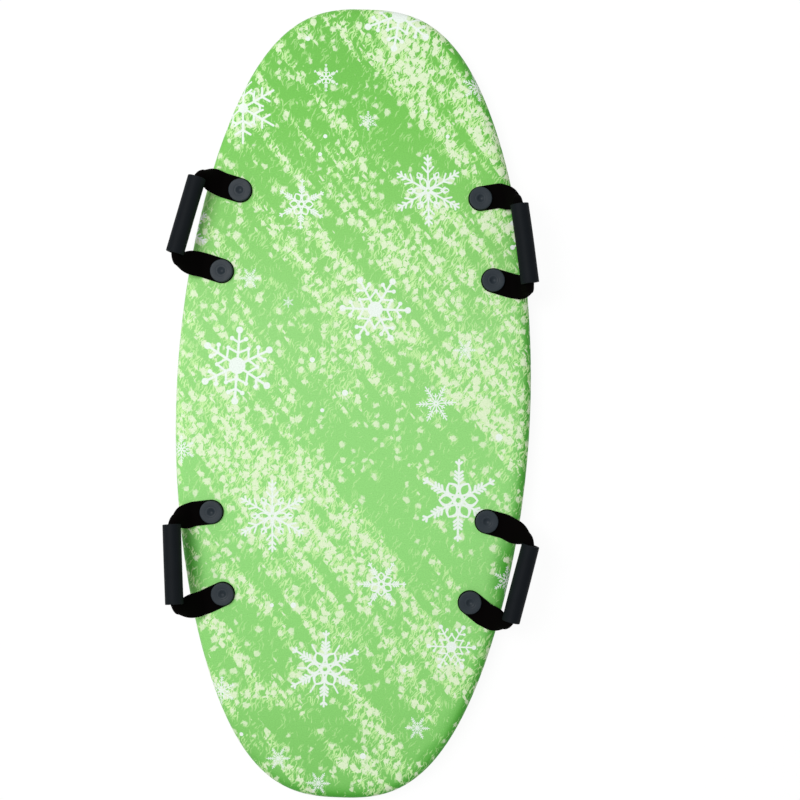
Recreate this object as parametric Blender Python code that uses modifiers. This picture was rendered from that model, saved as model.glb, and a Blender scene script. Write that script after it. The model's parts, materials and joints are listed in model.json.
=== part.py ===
"""Foam snow sled for two riders, with four webbing handles.

Metres, +Z up. The origin is on the ground under the middle of the board, +Y points to the nose
and +X to a rider's right. The board is a closed-cell foam core with a printed foam skin laminated
over its top and rails, and a slick plastic sheet under it. Each handle is one length of flat
webbing that runs through a thick foam grip, and is clamped at its two ends by moulded buttons whose
stems go through the board into flanged sockets.
"""

import math

import bmesh
import bpy
import numpy as np
from mathutils import Matrix, Vector

# Board outline, seen from above: flank = half width * (1 - share^2)^(1 / fullness)
SLED_LENGTH = 1.219
SLED_WIDTH = 0.548
FLANK_FULLNESS = 2.15
END_FULLNESS = 0.5
OUTLINE_SIDES = 72
OUTLINE_STEPS = 400

# Board layers, from the ground up
SLICK_WALL = 0.0012
CORE_THICKNESS = 0.0400
SKIN_WALL = 0.0025
DECK_EDGE_RADIUS = 0.015
CHINE_RADIUS = 0.009
LIP_STRAIGHT = 0.002
EDGE_LIMIT_SHARE = 0.9
DECK_EDGE_STEPS = 4
CHINE_STEPS = 3

# Clearance between pieces that touch
FIT_GAP = 0.0003

# Buttons: dished head over a stem
BUTTON_INSET = 0.053
BUTTON_SPACING = 0.127
HEAD_DIAMETER = 0.035
HEAD_THICKNESS = 0.0045
HEAD_EDGE_RADIUS = 0.0014
HEAD_EDGE_DEGREES = 45.0
HEAD_DISH = 0.0007
DIMPLE_RADIUS = 0.0048
DIMPLE_DEPTH = 0.0016
STEM_DIAMETER = 0.0090
STEM_TIP = 0.0010
BUTTON_SIDES = 18

# Sockets: flanged barrel let in from below
FLANGE_DIAMETER = 0.030
FLANGE_THICKNESS = 0.0022
FLANGE_RECESS = 0.0004
BARREL_WALL = 0.0024
BARREL_TOP_COVER = 0.003
STEM_END_GAP = 0.002
SOCKET_SIDES = 14

# Webbing straps
STRAP_WIDTH = 0.038
STRAP_THICKNESS = 0.0018
STRAP_HOLE_CLEARANCE = 0.0006
STRAP_REACH = 0.0562
STRAP_LEAVE = 0.0080
FOLD_CLEARANCE = 0.0055
FOLD_RADIUS = 0.0125
MOUTH_DEPTH = 0.0013
TURN_SHARE = 0.263
TURN_DEGREES = 80.0
PULL_SHARE = 0.28
CURL_DEGREES = 330.0
CURL_START_SHARE = 0.31
STRAP_CAP_DEGREES = (72.0, 48.0, 24.0)
STRAIGHT_SHARES = (0.0, 0.5, 0.8)
STRAP_CURVE_STEPS = 6
STRAP_TURN_STEPS = 4
STRAP_SPANS = 6
HOLE_SIDES = 12

# Foam grips, each end a little short of the buttons' stations. The strap runs loose in the bore,
# drawn towards its inboard side by a share of the slack.
GRIP_WALL = 0.0040
GRIP_END_GAP = 0.00345
BORE_SLACK = 0.0023
SLACK_SHARE = 0.62
GRIP_EDGE = 0.0008
GRIP_SIDES = 20

# Overrun of a cut past the faces it goes through, the distance under which a turned profile's
# points are merged, the tolerance within which points count as level, the angle past which a
# shaded edge stays sharp, and the step over which the outline's slope is taken
CUT_OVERRUN = 0.002
MERGE_DISTANCE = 0.00002
LEVEL_TOLERANCE = 0.00001
SHARP_DEGREES = 35.0
SLOPE_STEP_SHARE = 0.001

# How each handle lies: name, side of the board (+1 right), station as a share of half the length,
# drift of the grip along the rail as a share of the button spacing, skew of the grip and lift of the
# handle in degrees, and the way each strap end leaves its button, in degrees towards local +Y.
# Local +X points out over the rail, so local +Y is aft on the left side and forward on the right.
HANDLE_SHARES = (
    ("front_left", -1, 0.441, -0.0345, 4.0, 42.0, -5.1, -4.5),
    ("front_right", 1, 0.441, -0.1497, 2.0, 63.0, 0.5, -25.5),
    ("rear_left", -1, -0.403, 0.0345, 7.5, 49.0, 17.0, -1.5),
    ("rear_right", 1, -0.403, -0.1185, 3.2, 38.0, -3.4, -27.2),
)

# Worked out from the sizes above
HALF_LENGTH = SLED_LENGTH / 2
HALF_WIDTH = SLED_WIDTH / 2
CORE_BOTTOM = SLICK_WALL + FIT_GAP
CORE_TOP = CORE_BOTTOM + CORE_THICKNESS
DECK_TOP = CORE_TOP + FIT_GAP + SKIN_WALL
SEAM_HEIGHT = CHINE_RADIUS + LIP_STRAIGHT
DECK_ROUND = min(DECK_EDGE_RADIUS, (DECK_TOP - SEAM_HEIGHT) * EDGE_LIMIT_SHARE)
CORE_SIDE_INSET = SKIN_WALL + FIT_GAP
CORE_FOOT_INSET = SLICK_WALL + FIT_GAP
HEAD_RADIUS = HEAD_DIAMETER / 2
STEM_RADIUS = STEM_DIAMETER / 2
FLANGE_RADIUS = FLANGE_DIAMETER / 2
FLANGE_TOP = FLANGE_RECESS + FLANGE_THICKNESS
BARREL_TOP = CORE_TOP - BARREL_TOP_COVER
BARREL_BORE = STEM_RADIUS + FIT_GAP
BARREL_RADIUS = BARREL_BORE + BARREL_WALL
STRAP_HALF = STRAP_WIDTH / 2
STRAP_MID = DECK_TOP + FIT_GAP + STRAP_THICKNESS / 2
HEAD_SEAT = DECK_TOP + FIT_GAP + STRAP_THICKNESS + FIT_GAP
STEM_LENGTH = HEAD_SEAT - FLANGE_TOP - STEM_END_GAP
STRAP_STRAIGHT = HEAD_RADIUS + STRAP_LEAVE
FOLD_OFFSET = HEAD_RADIUS + FOLD_CLEARANCE
TURN_RADIUS = STRAP_WIDTH * TURN_SHARE
CURL_RADIUS = STRAP_WIDTH / math.radians(CURL_DEGREES)
BORE_RADIUS = CURL_RADIUS + STRAP_THICKNESS / 2 + BORE_SLACK
STRAP_OFFSET = BORE_SLACK * SLACK_SHARE
GRIP_RADIUS = BORE_RADIUS + GRIP_WALL
GRIP_LENGTH = BUTTON_SPACING - 2 * GRIP_END_GAP


def start_afresh():
    """Empty the scene and make the two collections."""
    for thing in list(bpy.data.objects):
        bpy.data.objects.remove(thing, do_unlink=True)
    made = []
    for name in ("foam_snow_sled", "cutters"):
        collection = bpy.data.collections.new(name)
        bpy.context.scene.collection.children.link(collection)
        made.append(collection)
    return made


SLED, CUTTERS = start_afresh()


def material(name, colour, roughness):
    """A Principled material of one moulded, woven or foamed colour."""
    finish = bpy.data.materials.new(name)
    finish.use_nodes = True
    shader = finish.node_tree.nodes["Principled BSDF"]
    shader.inputs["Base Color"].default_value = (*colour, 1.0)
    shader.inputs["Roughness"].default_value = roughness
    shader.inputs["Metallic"].default_value = 0.0
    finish.diffuse_color = (*colour, 1.0)
    return finish


def place(name, mesh, finish=None, collection=None):
    """Put a mesh in the scene as a named object with its material."""
    piece = bpy.data.objects.new(name, mesh)
    (collection or SLED).objects.link(piece)
    if finish and not mesh.materials:
        mesh.materials.append(finish)
    return piece


def mesh_of(name, builder):
    """Turn a bmesh into a mesh with its faces pointing out."""
    bmesh.ops.recalc_face_normals(builder, faces=builder.faces)
    mesh = bpy.data.meshes.new(name)
    builder.to_mesh(mesh)
    builder.free()
    return mesh


def round_off(mesh):
    """Shade a mesh smooth, apart from its sharp edges."""
    mesh.shade_smooth()
    mesh.set_sharp_from_angle(angle=math.radians(SHARP_DEGREES))


def turned(name, profile, sides):
    """The mesh of a profile of (radius, height) points turned about Z.

    The points run from the axis at the top, down the outside, to the axis below, or right round a
    closed section where neither end is on the axis."""
    closed = profile[0][0] > 0 and profile[-1][0] > 0
    count = len(profile)
    edges = [(i, i + 1) for i in range(count - 1)]
    if closed:
        edges.append((count - 1, 0))
    outline = bpy.data.meshes.new(name + "_profile")
    outline.from_pydata([(radius, 0.0, height) for radius, height in profile], edges, [])
    guide = place(name + "_guide", outline, collection=CUTTERS)
    screw = guide.modifiers.new("turn", "SCREW")
    screw.axis = "Z"
    screw.angle = math.tau
    screw.steps = sides
    screw.render_steps = sides
    screw.use_merge_vertices = True
    screw.merge_threshold = MERGE_DISTANCE
    seen = guide.evaluated_get(bpy.context.evaluated_depsgraph_get())
    mesh = bpy.data.meshes.new_from_object(seen)
    mesh.name = name
    bpy.data.objects.remove(guide, do_unlink=True)
    round_off(mesh)
    return mesh


def across_flats(radius, sides):
    """The corner radius of a regular polygon whose flats stand at the given radius."""
    return radius / math.cos(math.pi / sides)


def cut_round_holes(piece, name, places, radius, bottom, top, sides):
    """Cut a round hole, given in the piece's own frame, at each of several places."""
    builder = bmesh.new()
    for x, y in places:
        middle = Matrix.Translation((x, y, (bottom + top) / 2))
        corner = across_flats(radius, sides)
        bmesh.ops.create_cone(
            builder,
            cap_ends=True,
            segments=sides,
            radius1=corner,
            radius2=corner,
            depth=top - bottom,
            matrix=middle,
        )
    cutter = place(name + "_cutter", mesh_of(name + "_cutter", builder), collection=CUTTERS)
    cutter.hide_render = True
    cutter.display_type = "WIRE"
    cutter.parent = piece.parent
    cutter.matrix_world = piece.matrix_world.copy()
    cut = piece.modifiers.new(name, "BOOLEAN")
    cut.operation = "DIFFERENCE"
    cut.solver = "EXACT"
    cut.object = cutter


# Board outline


def flank(station):
    """Half of the board's width at a station along it."""
    share = station / HALF_LENGTH
    fullness = FLANK_FULLNESS + END_FULLNESS * share * share
    return HALF_WIDTH * max(1.0 - share * share, 0.0) ** (1.0 / fullness)


def quarter_outline():
    """Evenly spaced points from the right flank to the nose, each with its outward normal."""
    angles = [math.pi / 2 * i / OUTLINE_STEPS for i in range(OUTLINE_STEPS + 1)]
    ys = np.array([HALF_LENGTH * math.sin(angle) for angle in angles])
    xs = np.array([flank(y) for y in ys])
    run = np.concatenate([[0.0], np.cumsum(np.hypot(np.diff(xs), np.diff(ys)))])
    quarter = OUTLINE_SIDES // 4
    stops = run[-1] * np.arange(quarter + 1) / quarter
    along_x = np.interp(stops, run, np.gradient(xs, run))
    along_y = np.interp(stops, run, np.gradient(ys, run))
    points = []
    for i, (x, y) in enumerate(zip(np.interp(stops, run, xs), np.interp(stops, run, ys))):
        normal = Vector((along_y[i], -along_x[i])).normalized()
        if i == 0:
            normal = Vector((1.0, 0.0))
        if i == quarter:
            normal = Vector((0.0, 1.0))
        points.append((Vector((x, y)), normal))
    return points


def outline():
    """The whole outline, anticlockwise from the right flank, as points and outward normals."""
    quarter = quarter_outline()
    loop = []
    for sign_x, sign_y, points in (
        (1, 1, quarter[:-1]),
        (-1, 1, quarter[:0:-1]),
        (-1, -1, quarter[:-1]),
        (1, -1, quarter[:0:-1]),
    ):
        flip = Vector((sign_x, sign_y))
        loop.extend((point * flip, normal * flip) for point, normal in points)
    return loop


OUTLINE = outline()


def slab(builder, inset, bottom, top):
    """Raise the outline, drawn in by an inset, into a closed slab. Returns its top face."""
    ring = []
    for point, normal in OUTLINE:
        edge = point - normal * inset
        ring.append(builder.verts.new((edge.x, edge.y, bottom)))
    base = builder.faces.new(ring)
    return raise_face(builder, base, top - bottom)


def raise_face(builder, face, rise):
    """Extrude one face upwards. Returns the face that it becomes."""
    made = bmesh.ops.extrude_face_region(builder, geom=[face])["geom"]
    corners = [part for part in made if isinstance(part, bmesh.types.BMVert)]
    bmesh.ops.translate(builder, verts=corners, vec=(0.0, 0.0, rise))
    return next(part for part in made if isinstance(part, bmesh.types.BMFace))


def level(corner, height):
    """Whether a corner lies at a height."""
    return abs(corner.co.z - height) < LEVEL_TOLERANCE


def open_up(builder, height):
    """Take away the flat face at a height."""
    faces = [face for face in builder.faces if all(level(corner, height) for corner in face.verts)]
    bmesh.ops.delete(builder, geom=faces, context="FACES_ONLY")


def round_edges(builder, height, radius, steps):
    """Round the loop of edges at a height."""
    edges = [edge for edge in builder.edges if all(level(corner, height) for corner in edge.verts)]
    bmesh.ops.bevel(
        builder,
        geom=edges,
        offset=radius,
        offset_type="OFFSET",
        affect="EDGES",
        segments=steps,
        profile=0.5,
    )


def give_wall(piece, wall):
    """Give an open surface its wall, on its inner side."""
    solidify = piece.modifiers.new("wall", "SOLIDIFY")
    solidify.thickness = wall
    solidify.offset = -1.0
    solidify.use_even_offset = True
    solidify.use_rim = True


def all_seats():
    """The places of all the buttons."""
    return [seat for handle in HANDLES for seat in handle.seats()]


def board_holes(piece, name, radius, bottom, top, sides):
    """Cut one hole for every button through a layer of the board."""
    bottom, top = bottom - CUT_OVERRUN, top + CUT_OVERRUN
    cut_round_holes(piece, name, all_seats(), radius, bottom, top, sides)


def make_core():
    """The closed-cell foam board, stepped at the seam where the skin meets the slick's lip."""
    builder = bmesh.new()
    step = slab(builder, CORE_FOOT_INSET, CORE_BOTTOM, SEAM_HEIGHT)
    bmesh.ops.inset_region(
        builder, faces=[step], thickness=CORE_SIDE_INSET - CORE_FOOT_INSET, use_even_offset=True
    )
    raise_face(builder, step, CORE_TOP - SEAM_HEIGHT)
    bmesh.ops.delete(builder, geom=[step], context="FACES_ONLY")
    round_edges(builder, CORE_TOP, DECK_ROUND - CORE_SIDE_INSET, DECK_EDGE_STEPS)
    round_edges(builder, CORE_BOTTOM, CHINE_RADIUS - CORE_FOOT_INSET, CHINE_STEPS)
    core = place("foam_core", mesh_of("foam_core", builder), FOAM)
    board_holes(core, "barrel_hole", BARREL_RADIUS + FIT_GAP, CORE_BOTTOM, CORE_TOP, SOCKET_SIDES)
    bottom, top = CORE_BOTTOM - CUT_OVERRUN, FLANGE_TOP + FIT_GAP
    cut_round_holes(core, "flange_seat", all_seats(), FLANGE_RADIUS + FIT_GAP, bottom, top, SOCKET_SIDES)


def make_skin():
    """The printed skin over the deck and down the rails to the seam."""
    builder = bmesh.new()
    bottom = SEAM_HEIGHT + FIT_GAP
    slab(builder, 0.0, bottom, DECK_TOP)
    open_up(builder, bottom)
    round_edges(builder, DECK_TOP, DECK_ROUND, DECK_EDGE_STEPS)
    skin = place("deck_skin", mesh_of("deck_skin", builder), PRINT)
    give_wall(skin, SKIN_WALL)
    bottom = DECK_TOP - SKIN_WALL
    board_holes(skin, "stem_hole", STEM_RADIUS + FIT_GAP, bottom, DECK_TOP, HOLE_SIDES)


def make_slick():
    """The slick sheet under the board, turned up round the chine to the seam."""
    builder = bmesh.new()
    slab(builder, 0.0, 0.0, SEAM_HEIGHT)
    open_up(builder, SEAM_HEIGHT)
    round_edges(builder, 0.0, CHINE_RADIUS, CHINE_STEPS)
    slick = place("slick_bottom", mesh_of("slick_bottom", builder), SLICK)
    give_wall(slick, SLICK_WALL)
    board_holes(slick, "flange_hole", FLANGE_RADIUS + FIT_GAP, 0.0, SLICK_WALL, SOCKET_SIDES)


# Handles


class Handle:
    """One handle's place on the board and the way that it lies."""

    def __init__(self, name, side, station_share, drift_share, skew, lift, fan_ahead, fan_behind):
        self.name = name
        self.side = side
        self.drift = drift_share * BUTTON_SPACING
        self.skew = math.radians(skew)
        self.lift = math.radians(lift)
        self.fans = {1: math.radians(fan_ahead), -1: math.radians(fan_behind)}
        station = station_share * HALF_LENGTH
        step = SLOPE_STEP_SHARE * HALF_LENGTH
        slope = (flank(station + step) - flank(station - step)) / (2 * step)
        outward = Vector((side, -slope)).normalized()
        middle = Vector((side * flank(station), station)) - outward * BUTTON_INSET
        self.turn = math.atan2(outward.y, outward.x)
        self.frame = Matrix.Translation((middle.x, middle.y, 0.0)) @ Matrix.Rotation(
            self.turn, 4, "Z"
        )

    def seats(self):
        """The two buttons' places on the board."""
        spots = [self.frame @ Vector((0.0, end * BUTTON_SPACING / 2, 0.0)) for end in (1, -1)]
        return [(spot.x, spot.y) for spot in spots]

    def end_name(self, end):
        """Whether the end at local +Y or -Y is the fore or the aft one."""
        return "fore" if end == self.side else "aft"

    def grip_axis(self):
        """The grip's middle and its heading in the flat, unrolled plane of the strap."""
        reach = math.sqrt(STRAP_REACH**2 - self.drift**2)
        heading = Vector((math.sin(self.skew), math.cos(self.skew)))
        return Vector((FOLD_OFFSET + reach, self.drift)), heading

    def bent(self, point, above):
        """Carry a point of the unrolled plane on to the handle as it lies.

        It is flat as far as the fold, then goes round the fold and straight up the slope. Heights
        are counted from the middle of the strap where it lies on the deck."""
        past = point.x - FOLD_OFFSET
        angle = min(max(past / FOLD_RADIUS, 0.0), self.lift)
        straight = past - FOLD_RADIUS * angle
        x = FOLD_OFFSET + FOLD_RADIUS * math.sin(angle) + straight * math.cos(angle)
        z = FOLD_RADIUS * (1.0 - math.cos(angle)) + straight * math.sin(angle)
        return Vector((x - above * math.sin(angle), point.y, z + above * math.cos(angle)))

    def swing_axis(self):
        """A point on the line that the handle swings about, in its own frame."""
        return Vector((FOLD_OFFSET, 0.0, STRAP_MID))


HANDLES = [Handle(*row) for row in HANDLE_SHARES]


def bezier(ends, share):
    """A point on a cubic curve through its four control points, and its heading there."""
    start, leave, enter, stop = ends
    rest = 1.0 - share
    point = (
        start * rest**3
        + leave * (3 * rest**2 * share)
        + enter * (3 * rest * share**2)
        + stop * share**3
    )
    heading = (leave - start) * rest**2 + (enter - leave) * (2 * rest * share)
    heading += (stop - enter) * share**2
    return point, heading.normalized()


def smooth_step(share):
    """An even ease from 0 to 1."""
    share = min(max(share, 0.0), 1.0)
    return share * share * (3.0 - 2.0 * share)


def curve_to_mouth(handle, end, start, way):
    """Points, headings and curls from the strap's straight start to just inside the grip.

    The strap curls up over a free curve, then goes round a turn that ends in line with the grip."""
    middle, axis = handle.grip_axis()
    out = axis * end
    inboard = Vector((-axis.y, axis.x))
    hub = middle + out * (GRIP_LENGTH / 2 - MOUTH_DEPTH) + inboard * (TURN_RADIUS + STRAP_OFFSET)
    turn = []
    for step in range(STRAP_TURN_STEPS + 1):
        angle = math.radians(TURN_DEGREES) * (1.0 - step / STRAP_TURN_STEPS)
        spoke = out * math.sin(angle) - inboard * math.cos(angle)
        heading = -out * math.cos(angle) - inboard * math.sin(angle)
        turn.append((hub + spoke * TURN_RADIUS, heading, 1.0))
    stop, heading, _ = turn[0]
    pull = (stop - start).length * PULL_SHARE
    ends = (start, start + way * pull, stop - heading * pull, stop)
    curve = []
    for step in range(STRAP_CURVE_STEPS):
        share = step / STRAP_CURVE_STEPS
        curl = smooth_step((share - CURL_START_SHARE) / (1.0 - CURL_START_SHARE))
        curve.append((*bezier(ends, share), curl))
    return curve + turn


def strap_end_rows(handle, end):
    """The cross rows of one strap end, from its rounded tip to the grip's mouth.

    A row is its middle, its heading, its half width and its curl, from 0 flat to 1 rolled to fit
    the grip's bore."""
    button = Vector((0.0, end * BUTTON_SPACING / 2))
    way = Vector((math.cos(handle.fans[end]), math.sin(handle.fans[end])))
    rows = []
    for degrees in STRAP_CAP_DEGREES:
        angle = math.radians(degrees)
        tip = button - way * (STRAP_HALF * math.sin(angle))
        rows.append((tip, way, STRAP_HALF * math.cos(angle), 0.0))
    for share in STRAIGHT_SHARES:
        rows.append((button + way * (STRAP_STRAIGHT * share), way, STRAP_HALF, 0.0))
    for point, heading, curl in curve_to_mouth(handle, end, button + way * STRAP_STRAIGHT, way):
        rows.append((point, heading, STRAP_HALF, curl))
    return rows


def strap_rows(handle):
    """The cross rows of a whole strap, from one rounded tip to the other."""
    rows = strap_end_rows(handle, 1)
    for middle, heading, half, curl in reversed(strap_end_rows(handle, -1)):
        rows.append((middle, -heading, half, curl))
    return rows


def make_strap(handle, swing):
    """The webbing: a sheet lofted along its rows, thickened and punched for the two stems."""
    builder = bmesh.new()
    rings = []
    for middle, heading, half, curl in strap_rows(handle):
        across = Vector((-heading.y, heading.x))
        ring = []
        for span in range(STRAP_SPANS + 1):
            offset = half * (2.0 * span / STRAP_SPANS - 1.0)
            sideways, above = offset, 0.0
            if curl > 0:
                radius = CURL_RADIUS / curl
                sideways = radius * math.sin(offset / radius)
                above = CURL_RADIUS * curl - radius * (1.0 - math.cos(offset / radius))
            ring.append(handle.bent(middle + across * sideways, above))
        rings.append(ring)
    pivot = Vector((FOLD_OFFSET, 0.0, 0.0))
    corners = [[builder.verts.new(point - pivot) for point in ring] for ring in rings]
    for near, far in zip(corners, corners[1:]):
        for span in range(STRAP_SPANS):
            builder.faces.new((near[span], near[span + 1], far[span + 1], far[span]))
    name = handle.name + "_strap"
    mesh = bpy.data.meshes.new(name)
    builder.to_mesh(mesh)
    builder.free()
    round_off(mesh)
    strap = place(name, mesh, WEBBING)
    strap.parent = swing
    bpy.context.view_layer.update()
    thick = strap.modifiers.new("thickness", "SOLIDIFY")
    thick.thickness = STRAP_THICKNESS
    thick.offset = 0.0
    thick.use_even_offset = True
    thick.use_rim = True
    places = [(-FOLD_OFFSET, end * BUTTON_SPACING / 2) for end in (1, -1)]
    radius = STEM_RADIUS + STRAP_HOLE_CLEARANCE
    depth = STRAP_THICKNESS / 2 + CUT_OVERRUN
    cut_round_holes(strap, handle.name + "_punch", places, radius, -depth, depth, HOLE_SIDES)


def grip_mesh():
    """A thick foam tube with eased ends, its middle at the origin and its axis along Z."""
    half = GRIP_LENGTH / 2
    bore = across_flats(BORE_RADIUS, GRIP_SIDES)
    profile = [
        (bore, half),
        (GRIP_RADIUS - GRIP_EDGE, half),
        (GRIP_RADIUS, half - GRIP_EDGE),
        (GRIP_RADIUS, GRIP_EDGE - half),
        (GRIP_RADIUS - GRIP_EDGE, -half),
        (bore, -half),
    ]
    return turned("grip", profile, GRIP_SIDES)


def button_mesh():
    """A dished head with a dimple and a soft edge, over a stem, with the head's seat at Z 0."""
    rim = HEAD_RADIUS - HEAD_EDGE_RADIUS
    chamfer = HEAD_EDGE_RADIUS * (1.0 - math.cos(math.radians(HEAD_EDGE_DEGREES)))
    profile = [
        (0.0, HEAD_THICKNESS - HEAD_DISH - DIMPLE_DEPTH),
        (DIMPLE_RADIUS, HEAD_THICKNESS - HEAD_DISH),
        (rim, HEAD_THICKNESS),
        (rim + HEAD_EDGE_RADIUS - chamfer, HEAD_THICKNESS - chamfer),
        (HEAD_RADIUS, HEAD_THICKNESS - HEAD_EDGE_RADIUS),
        (HEAD_RADIUS, 0.0),
        (STEM_RADIUS, 0.0),
        (STEM_RADIUS, STEM_TIP - STEM_LENGTH),
        (STEM_RADIUS - STEM_TIP, -STEM_LENGTH),
        (0.0, -STEM_LENGTH),
    ]
    return turned("button", profile, BUTTON_SIDES)


def socket_mesh():
    """A flanged barrel with a blind bore that opens upwards, in the board's own heights."""
    bore = across_flats(BARREL_BORE, SOCKET_SIDES)
    profile = [
        (0.0, FLANGE_TOP),
        (bore, FLANGE_TOP),
        (bore, BARREL_TOP),
        (BARREL_RADIUS, BARREL_TOP),
        (BARREL_RADIUS, FLANGE_TOP),
        (FLANGE_RADIUS, FLANGE_TOP),
        (FLANGE_RADIUS, FLANGE_RECESS),
        (0.0, FLANGE_RECESS),
    ]
    return turned("socket", profile, SOCKET_SIDES)


def make_handle(handle, grip, button, socket):
    """One handle: its swing and its grip's spin, the strap, the grip, two buttons and two sockets."""
    swing = bpy.data.objects.new(handle.name + "_swing", None)
    SLED.objects.link(swing)
    swing.matrix_world = handle.frame @ Matrix.Translation(handle.swing_axis())
    bpy.context.view_layer.update()
    make_strap(handle, swing)
    middle, axis = handle.grip_axis()
    centre = handle.bent(middle, 0.0) + Vector((0.0, 0.0, STRAP_MID))
    tilt = Matrix.Rotation(-handle.lift, 4, "Y")
    along = tilt @ Vector((axis.x, axis.y, 0.0))
    sleeve = place(handle.name + "_grip", grip, SOFT_FOAM)
    sleeve.parent = swing
    sleeve.matrix_world = (
        handle.frame
        @ Matrix.Translation(centre)
        @ Vector((0.0, 0.0, 1.0)).rotation_difference(along).to_matrix().to_4x4()
    )
    for end in (1, -1):
        spot = handle.frame @ Vector((0.0, end * BUTTON_SPACING / 2, 0.0))
        stem_name = handle.name + "_" + handle.end_name(end)
        head = place(stem_name + "_button", button, MOULDED)
        head.location = (spot.x, spot.y, HEAD_SEAT)
        head.rotation_euler.z = handle.turn
        barrel = place(stem_name + "_socket", socket, MOULDED)
        barrel.location = (spot.x, spot.y, 0.0)
        barrel.rotation_euler.z = handle.turn


PRINT = material("printed_skin", (0.250, 0.600, 0.140), 0.55)
FOAM = material("white_foam", (0.800, 0.800, 0.780), 0.85)
SLICK = material("slick_sheet", (0.020, 0.022, 0.024), 0.35)
WEBBING = material("black_webbing", (0.006, 0.006, 0.006), 0.85)
SOFT_FOAM = material("charcoal_foam", (0.022, 0.025, 0.028), 0.75)
MOULDED = material("slate_plastic", (0.035, 0.042, 0.052), 0.55)


def main():
    """Build the board, then the handles."""
    make_core()
    make_skin()
    make_slick()
    grip = grip_mesh()
    button = button_mesh()
    socket = socket_mesh()
    for handle in HANDLES:
        make_handle(handle, grip, button, socket)


main()
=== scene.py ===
"""Looks of the foam snow sled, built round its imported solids.

Metres, +Z up. The board lies on the floor with its nose at +Y. The sizes repeated here from the
solids are those that a finer copy of a shape needs; where a piece stands is read from the solids.
"""

import json
import logging
import math
from dataclasses import dataclass, field
from enum import Enum, IntEnum
from functools import reduce
from typing import Union

import bmesh
import bpy
import numpy as np
from mathutils import Matrix, Vector
from mathutils.geometry import delaunay_2d_cdt


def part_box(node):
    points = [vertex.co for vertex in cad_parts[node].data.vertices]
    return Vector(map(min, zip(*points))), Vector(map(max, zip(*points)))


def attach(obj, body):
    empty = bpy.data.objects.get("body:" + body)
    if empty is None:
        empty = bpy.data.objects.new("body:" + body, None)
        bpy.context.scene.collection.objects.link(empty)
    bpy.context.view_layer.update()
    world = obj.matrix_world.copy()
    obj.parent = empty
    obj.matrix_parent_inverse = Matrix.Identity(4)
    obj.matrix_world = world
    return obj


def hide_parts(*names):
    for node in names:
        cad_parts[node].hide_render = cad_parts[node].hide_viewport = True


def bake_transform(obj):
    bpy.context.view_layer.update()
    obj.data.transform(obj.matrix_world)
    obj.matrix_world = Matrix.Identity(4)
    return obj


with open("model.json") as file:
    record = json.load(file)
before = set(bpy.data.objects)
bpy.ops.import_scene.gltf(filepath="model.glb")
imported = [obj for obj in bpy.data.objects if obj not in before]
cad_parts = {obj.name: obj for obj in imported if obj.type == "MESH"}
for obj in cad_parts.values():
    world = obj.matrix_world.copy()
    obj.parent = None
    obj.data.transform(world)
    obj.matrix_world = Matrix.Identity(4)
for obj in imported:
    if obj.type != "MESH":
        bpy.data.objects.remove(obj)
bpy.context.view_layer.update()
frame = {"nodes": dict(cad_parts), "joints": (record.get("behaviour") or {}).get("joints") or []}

LOG = logging.getLogger("foam_snow_sled")
MM = 0.001
TINY = 0.00001
WHITE = (1.0, 1.0, 1.0, 1.0)
Key = Union[str, int]
Value = Union["Field", float, int]
Span = tuple[float, float]


def linear(red: float, green: float, blue: float) -> tuple[float, float, float, float]:
    """Turn a colour as a screen shows it into the light it stands for.

    Args:
        red: red from 0 to 255.
        green: green from 0 to 255.
        blue: blue from 0 to 255.

    Returns:
        The linear colour with full alpha.
    """
    made = []
    for part in (red, green, blue):
        share = part / 255.0
        made.append(share / 12.92 if share <= 0.04045 else ((share + 0.055) / 1.055) ** 2.4)
    return made[0], made[1], made[2], 1.0


# Node trees


class Field:
    """An output socket that Python's operators work on."""

    def __init__(self, wiring: "Wiring", socket: bpy.types.NodeSocket) -> None:
        """Wrap one output socket of a tree."""
        self.wiring = wiring
        self.socket = socket

    def maths(self, operation: str, *others: Value) -> "Field":
        """This number, put through a Math node's operation with others."""
        return self.wiring.maths(operation, self, *others)

    def __add__(self, other: Value) -> "Field":
        """Add a number."""
        return self.maths("ADD", other)

    __radd__ = __add__

    def __sub__(self, other: Value) -> "Field":
        """Take a number away."""
        return self.maths("SUBTRACT", other)

    def __rsub__(self, other: Value) -> "Field":
        """Take this from a number."""
        return self.wiring.maths("SUBTRACT", other, self)

    def __mul__(self, other: Value) -> "Field":
        """Multiply by a number."""
        return self.maths("MULTIPLY", other)

    __rmul__ = __mul__

    def __truediv__(self, other: Value) -> "Field":
        """Divide by a number."""
        return self.maths("DIVIDE", other)

    def __rtruediv__(self, other: Value) -> "Field":
        """Divide a number by this."""
        return self.wiring.maths("DIVIDE", other, self)

    def __neg__(self) -> "Field":
        """Change the sign."""
        return self.maths("MULTIPLY", -1.0)

    def __abs__(self) -> "Field":
        """Drop the sign."""
        return self.maths("ABSOLUTE")

    def least(self, other: Value) -> "Field":
        """The smaller of two numbers."""
        return self.maths("MINIMUM", other)

    def most(self, other: Value) -> "Field":
        """The larger of two numbers."""
        return self.maths("MAXIMUM", other)

    def held(self, low: float, high: float) -> "Field":
        """This number, kept between two others."""
        return self.most(low).least(high)

    def ranged(self, span: Span) -> "Field":
        """A start, and a gain times this number."""
        return self * span[1] + span[0]

    def eased(self, start: Value, stop: Value) -> "Field":
        """A soft step from 0 at the start to 1 at the stop.

        Args:
            start: where the step begins.
            stop: where it ends.

        Returns:
            A number from 0 to 1.
        """
        return self.wiring.node(
            "ShaderNodeMapRange",
            {"interpolation_type": "SMOOTHSTEP"},
            {"Value": self, "From Min": start, "From Max": stop},
        )


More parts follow.
